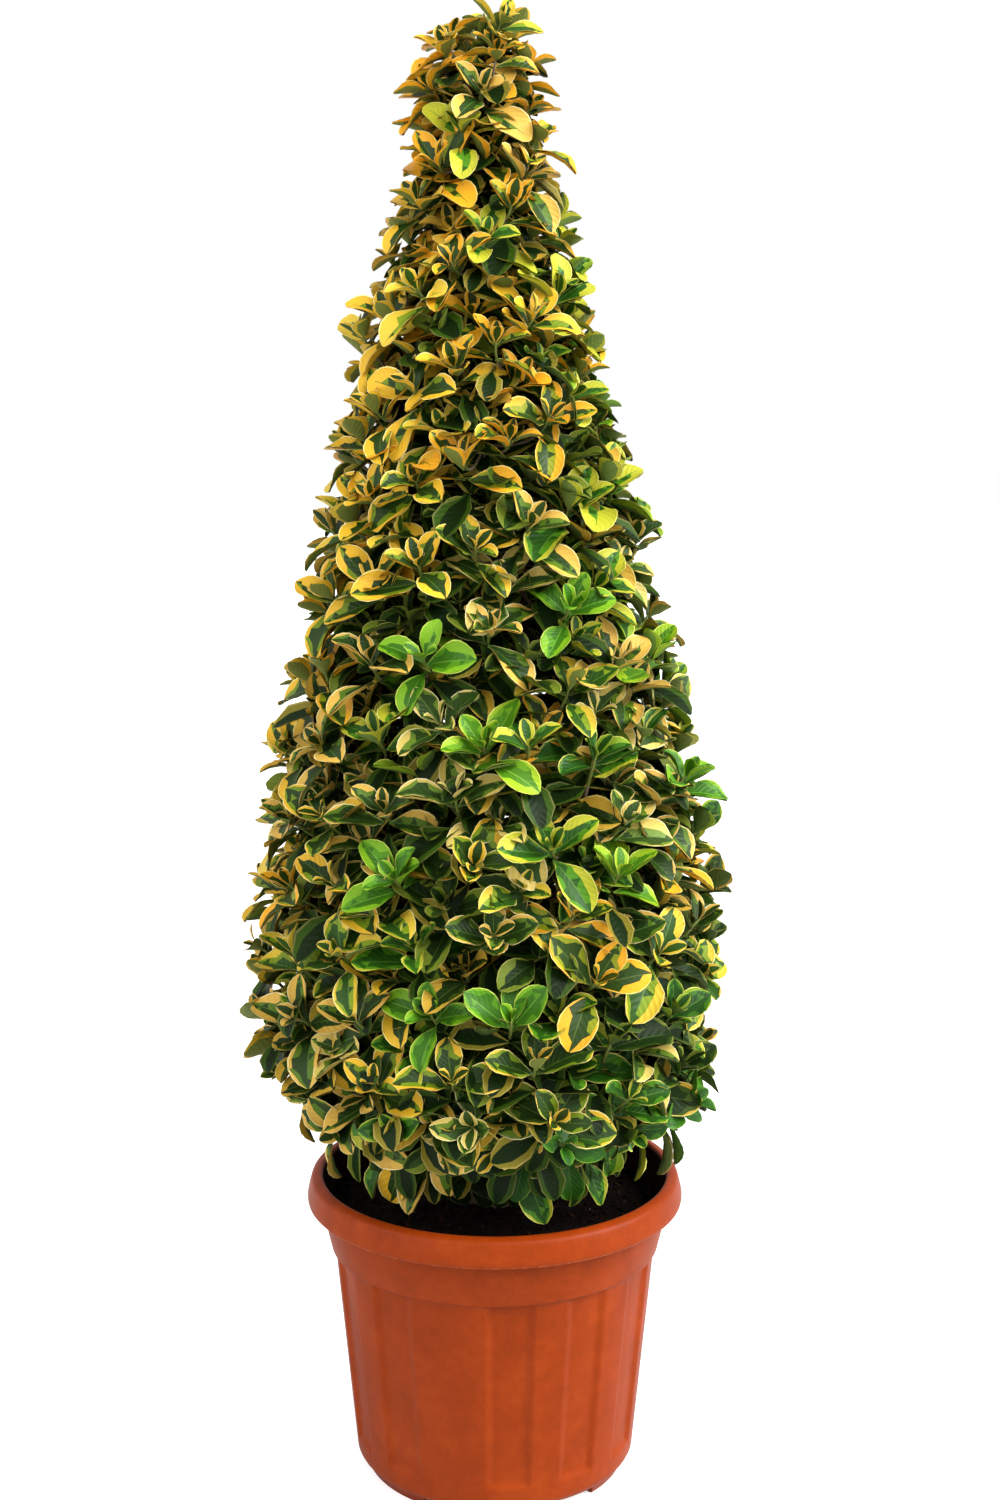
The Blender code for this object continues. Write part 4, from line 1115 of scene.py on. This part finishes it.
# %% Rosettes, leaf by leaf
TWIG_R, SLOPE_STEP = 0.0013, 0.012
INSETS = (0.80, 1.60)  # every second rosette sits deeper, in the shade of the others
sites = [(number * GOLDEN_ANGLE, z, None) for number, z in enumerate(rosette_heights())]
for from_front, height, colours in FRESH_SPOTS:  # the nearest rosette moves to the fresh shoot's place
    toward = math.radians(from_front - 90)
    gaps = [math.hypot(math.remainder(angle - toward, 2 * math.pi) * outline(height), z - height)
            for angle, z, _ in sites[:ROSETTES:2]]
    sites[2 * gaps.index(min(gaps))] = (toward, height, colours)
for number, (angle, z, fresh) in enumerate(sites):
    name = mass_of(z, angle)
    rng = random.Random(f"rosette {SEED} {number}")
    lean = math.atan2(outline(z - SLOPE_STEP) - outline(z + SLOPE_STEP), 2 * SLOPE_STEP)
    scale = min(1.0, 0.74 + 0.26 * outline(z) / 0.15) * rng.uniform(0.86, 1.12)  # shorter at the narrow top
    inset = min(ROSETTE_INSET, 0.62 * outline(z)) * INSETS[number % 2] * rng.uniform(0.80, 1.2)
    past = 0.001 + 0.009 * rng.random() ** 2  # shears leave some rosettes a little proud
    if fresh:
        inset, past, scale = ROSETTE_INSET * 0.6, 0.010, 0.96
    reach = outline(z) + float(shears(angle, z)[0])
    heart = at(reach - inset * math.cos(lean), angle, z - inset * math.sin(lean))
    heart.z = max(heart.z, LOWEST_HEART)
    droop = clamp((FOOT_TOP - z) / (FOOT_TOP - OUTLINE[0][0]))
    rise = max(lean, -0.35) + math.radians(LIFT * max(0.25, math.cos(lean)) ** 2 + rng.uniform(-15, 15))
    outward, across = level(angle)
    line = (outward + across * rng.uniform(-0.3, 0.3)).normalized() * math.cos(rise)
    line = (line + Vector((0, 0, math.sin(rise)))).normalized()

    start, thick = min(boughs[name], key=lambda b: (b[0] - heart).length + 0.4 * abs(b[0].z + 0.03 - heart.z))
    path = curve(start, heart - line * 0.6 * (heart - start).length, heart + line * 0.004, 6)
    twig_r = TWIG_R * scale
    radii = [min(thick, twig_r * (2.1 - 1.1 * k / 6)) for k in range(7)]
    twig_parts[name].append(tube(path, radii, 5, lambda n: 1 if n > 3 else 0))

    u = line.orthogonal().normalized()
    psi = rng.uniform(0, math.pi)
    up_high, low, left = clamp((z - 0.85) / 0.22), clamp((0.66 - z) / 0.24), -math.cos(angle)
    chosen = leaf_set(rng, up_high, left, low, number % 2)
    if fresh:
        chosen = fresh
    # More gold up top and less low down on the right: partly the plant's own pattern, partly painted light,
    # lit at the top and shaded at the foot.
    gold_and_painted_light = 0.42 + 0.24 * up_high * (0.8 + 0.3 * left) + 0.04 * left - 0.14 * low * (1 - left)
    gold_and_painted_light += rng.uniform(-0.16, 0.16)
    for pair, (back, opening, share, fine) in enumerate(PAIRS):
        for which in (0, 1):
            turn = psi + math.pi * which + math.pi / 2 * (pair % 2) + rng.uniform(-0.16, 0.16)
            wanted = LEAF_LENGTH * scale * share * rng.uniform(0.86, 1.14)
            width = rng.uniform(0.82, 1.02)
            opens = opening + rng.uniform(-9, 9) + (FOOT_DROOP * droop if pair > 1 else 0)
            template = rng.choice(COARSE_LEAVES)
            if fine:
                kind = int(len(FINE_LEAVES) * (gold_and_painted_light + rng.uniform(-0.16, 0.16)))
                template = FINE_LEAVES[max(0, min(len(FINE_LEAVES) - 1, kind))]
            twist = rng.uniform(-0.28, 0.28)
            colours = chosen
            # The oldest pairs deep in the rosette are dark: partly their own colour, partly painted shade.
            if pair > 3:
                colours = "old" if rng.random() < 0.25 + 0.3 * up_high else "old_green"
            for turned_by, shorter, closer in TRIES:
                a, phi = turn + turned_by, math.radians(opens * closer)
                out = u * math.cos(a) + line.cross(u) * math.sin(a)
                along = line * math.cos(phi) + out * math.sin(phi)
                up = line * math.sin(phi) - out * math.cos(phi)
                side = up.cross(along)
                up, side = rolled(up, side, twist)
                root = heart - line * (back * MM * scale) + along * twig_r
                points = placed(template, root, side, up, along, wanted * shorter, width)
                if fits(points, past):
                    add_leaf(name, points, template, colours)
                    counts["fine" if fine else "coarse"] += 1
                    break
            else:
                counts["left out"] += 1
print(counts)

# %% [markdown]
# ## Leaves that hang over the soil
#
# Round the foot of the crown the oldest leaves hang from short twigs over the soil, in the crown's shade.
# Each is set by its tip: where that is, how long the leaf is, and how far it leans out. A few at the front
# keep their gold margins; the rest are dark, dull green ones, dealt out all round by the golden angle: partly
# the old leaves' own colour and partly painted shade under the crown.

# %% Hang the leaves at the foot
DROOPING = (  # degrees from the front, mm out to the tip, mm up to it, length in mm, leaf, colours
    (-39, 127, 281, 60, 6, "cream"), (-51, 124, 285, 58, 5, "deep_gold"), (20, 129, 280, 56, 2, "lime_edge"),
    (-6, 78, 288, 48, 0, "old_green"), (48, 130, 284, 48, 2, "lime_edge"), (76, 157, 294, 56, 4, "cream"),
    (-72, 150, 296, 44, 4, "cream"), (-57, 134, 285, 46, 1, "lime_edge"), (50, 134, 312, 44, 4, "mid_green"),
    (79, 172, 302, 48, 0, PLAIN), (-22, 112, 300, 50, 3, "cream"), (8, 118, 300, 46, 0, PLAIN),
    (33, 126, 296, 46, 1, PLAIN), (-12, 58, 270, 56, 0, "old_green"), (2, 60, 271, 56, 0, "old_green"),
    (14, 70, 274, 52, 0, "shaded_green"), (-26, 62, 271, 56, 0, "old_green"),
    (-42, 70, 274, 52, 0, "old_green"), (26, 66, 273, 52, 0, "old_green"),
    (-84, 170, 305, 46, 4, "shaded_gold"), (62, 146, 300, 46, 3, "lime_edge"),
)
# The dull dark greens of the leaves hung all round: partly the old leaves' own colour, partly painted shade
# under the crown.
SHADY = 84
SHADY_COLOURS = ("old", "old_green", "shaded_green", "old_green")
DROOP_LIFTS = (0, 0.004, 0.008, 0.013, 0.019, 0.026)  # a leaf that touches something is raised by these
DROOP_WIDTH, DROOP_PAST = 0.84, 0.12
DROOP_FROM = 0.35  # the height of the mass that it hangs from


def hang(rng, from_front, out, tip_z, length, template, colours):
    """One leaf with its tip at this place, and the twig that it hangs from. Returns how many it hung."""
    angle = math.radians(from_front - 90)
    outward, across = level(angle)
    lean = math.radians(rng.uniform(12, 42))
    along = outward * math.sin(lean) + across * rng.uniform(-0.35, 0.35) - Vector((0, 0, math.cos(lean)))
    along.normalize()
    up = (outward - along * outward.dot(along)).normalized()
    up, side = rolled(up, up.cross(along), rng.uniform(-0.5, 0.5))
    end = template[0][template[0][:, 2].argmax()]
    for lift in DROOP_LIFTS:
        tip = outward * out + Vector((0, 0, tip_z + lift))
        root = tip - (side * end[0] * DROOP_WIDTH + up * end[1] + along * end[2]) * length
        points = placed(template, root, side, up, along, length, DROOP_WIDTH)
        if fits(points, DROOP_PAST):
            name = mass_of(DROOP_FROM, angle)
            add_leaf(name, points, template, colours)
            start, thick = min(boughs[name], key=lambda b: (b[0] - root).length)
            path = curve(start, root - along * 0.5 * (root - start).length, root + along * 0.001, 5)
            radii = [min(thick, 0.0021 - 0.0002 * k) for k in range(6)]
            twig_parts[name].append(tube(path, radii, 5, lambda n: 0))
            return 1
    return 0


rng = random.Random(f"drooping {SEED}")
hung = 0
for from_front, out, tip_z, length, leaf, colours in DROOPING:
    hung += hang(rng, from_front, out * MM, tip_z * MM, length * MM, FINE_LEAVES[leaf], colours)
for n in range(SHADY):
    template = rng.choice(COARSE_LEAVES + FINE_LEAVES[:1])
    hung += hang(rng, math.degrees(n * GOLDEN_ANGLE), rng.uniform(0.055, 0.140), rng.uniform(0.286, 0.318),
                 rng.uniform(0.036, 0.052), template, rng.choice(SHADY_COLOURS))
print(hung, "leaves hang over the soil")

# %% [markdown]
# ## Joining the sprays
#
# Thousands of separate leaves would be slow to handle, so the leaves of one mass become one piece, and its
# boughs and twigs another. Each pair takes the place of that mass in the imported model. The older wood of
# a twig is grey and dull, and its young end is still green, with a little more sheen.

# %% Join the leaves and the twigs of each mass
TWIG_GRAIN = 1.54  # mm
twig_bark, twig_shader = new_material("grey_brown_twig", "6a5a44", 0.8)
green_twig, green_shader = new_material("green_young_twig", "5a6420", 0.65)
for look, shader in ((twig_bark, twig_shader), (green_twig, green_shader)):
    add_grain(look, shader, TWIG_GRAIN, 4, 0.5, 0.5, 0.0008)

total = 0
for name in leaf_parts:
    leaves = joined(f"leaves_{name}", leaf_parts[name], leaf_looks)
    twigs = joined(f"twigs_{name}", twig_parts[name], [twig_bark, green_twig])
    for piece, slot in ((leaves, "variegated_leaves"), (twigs, "bark")):
        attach(piece, "root")
        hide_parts(f"foliage_{name}")
    triangles = [sum(p.loop_total - 2 for p in piece.data.polygons) for piece in (leaves, twigs)]
    total += sum(triangles)
    print(name, "leaves", triangles[0], "and twigs", triangles[1], "triangles")
print("foliage:", total, "triangles in all")

# %% Sizes after the rebuild, to set beside the imported model's
low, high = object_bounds()
print("visual from", [round(v, 4) for v in low], "to", [round(v, 4) for v in high])
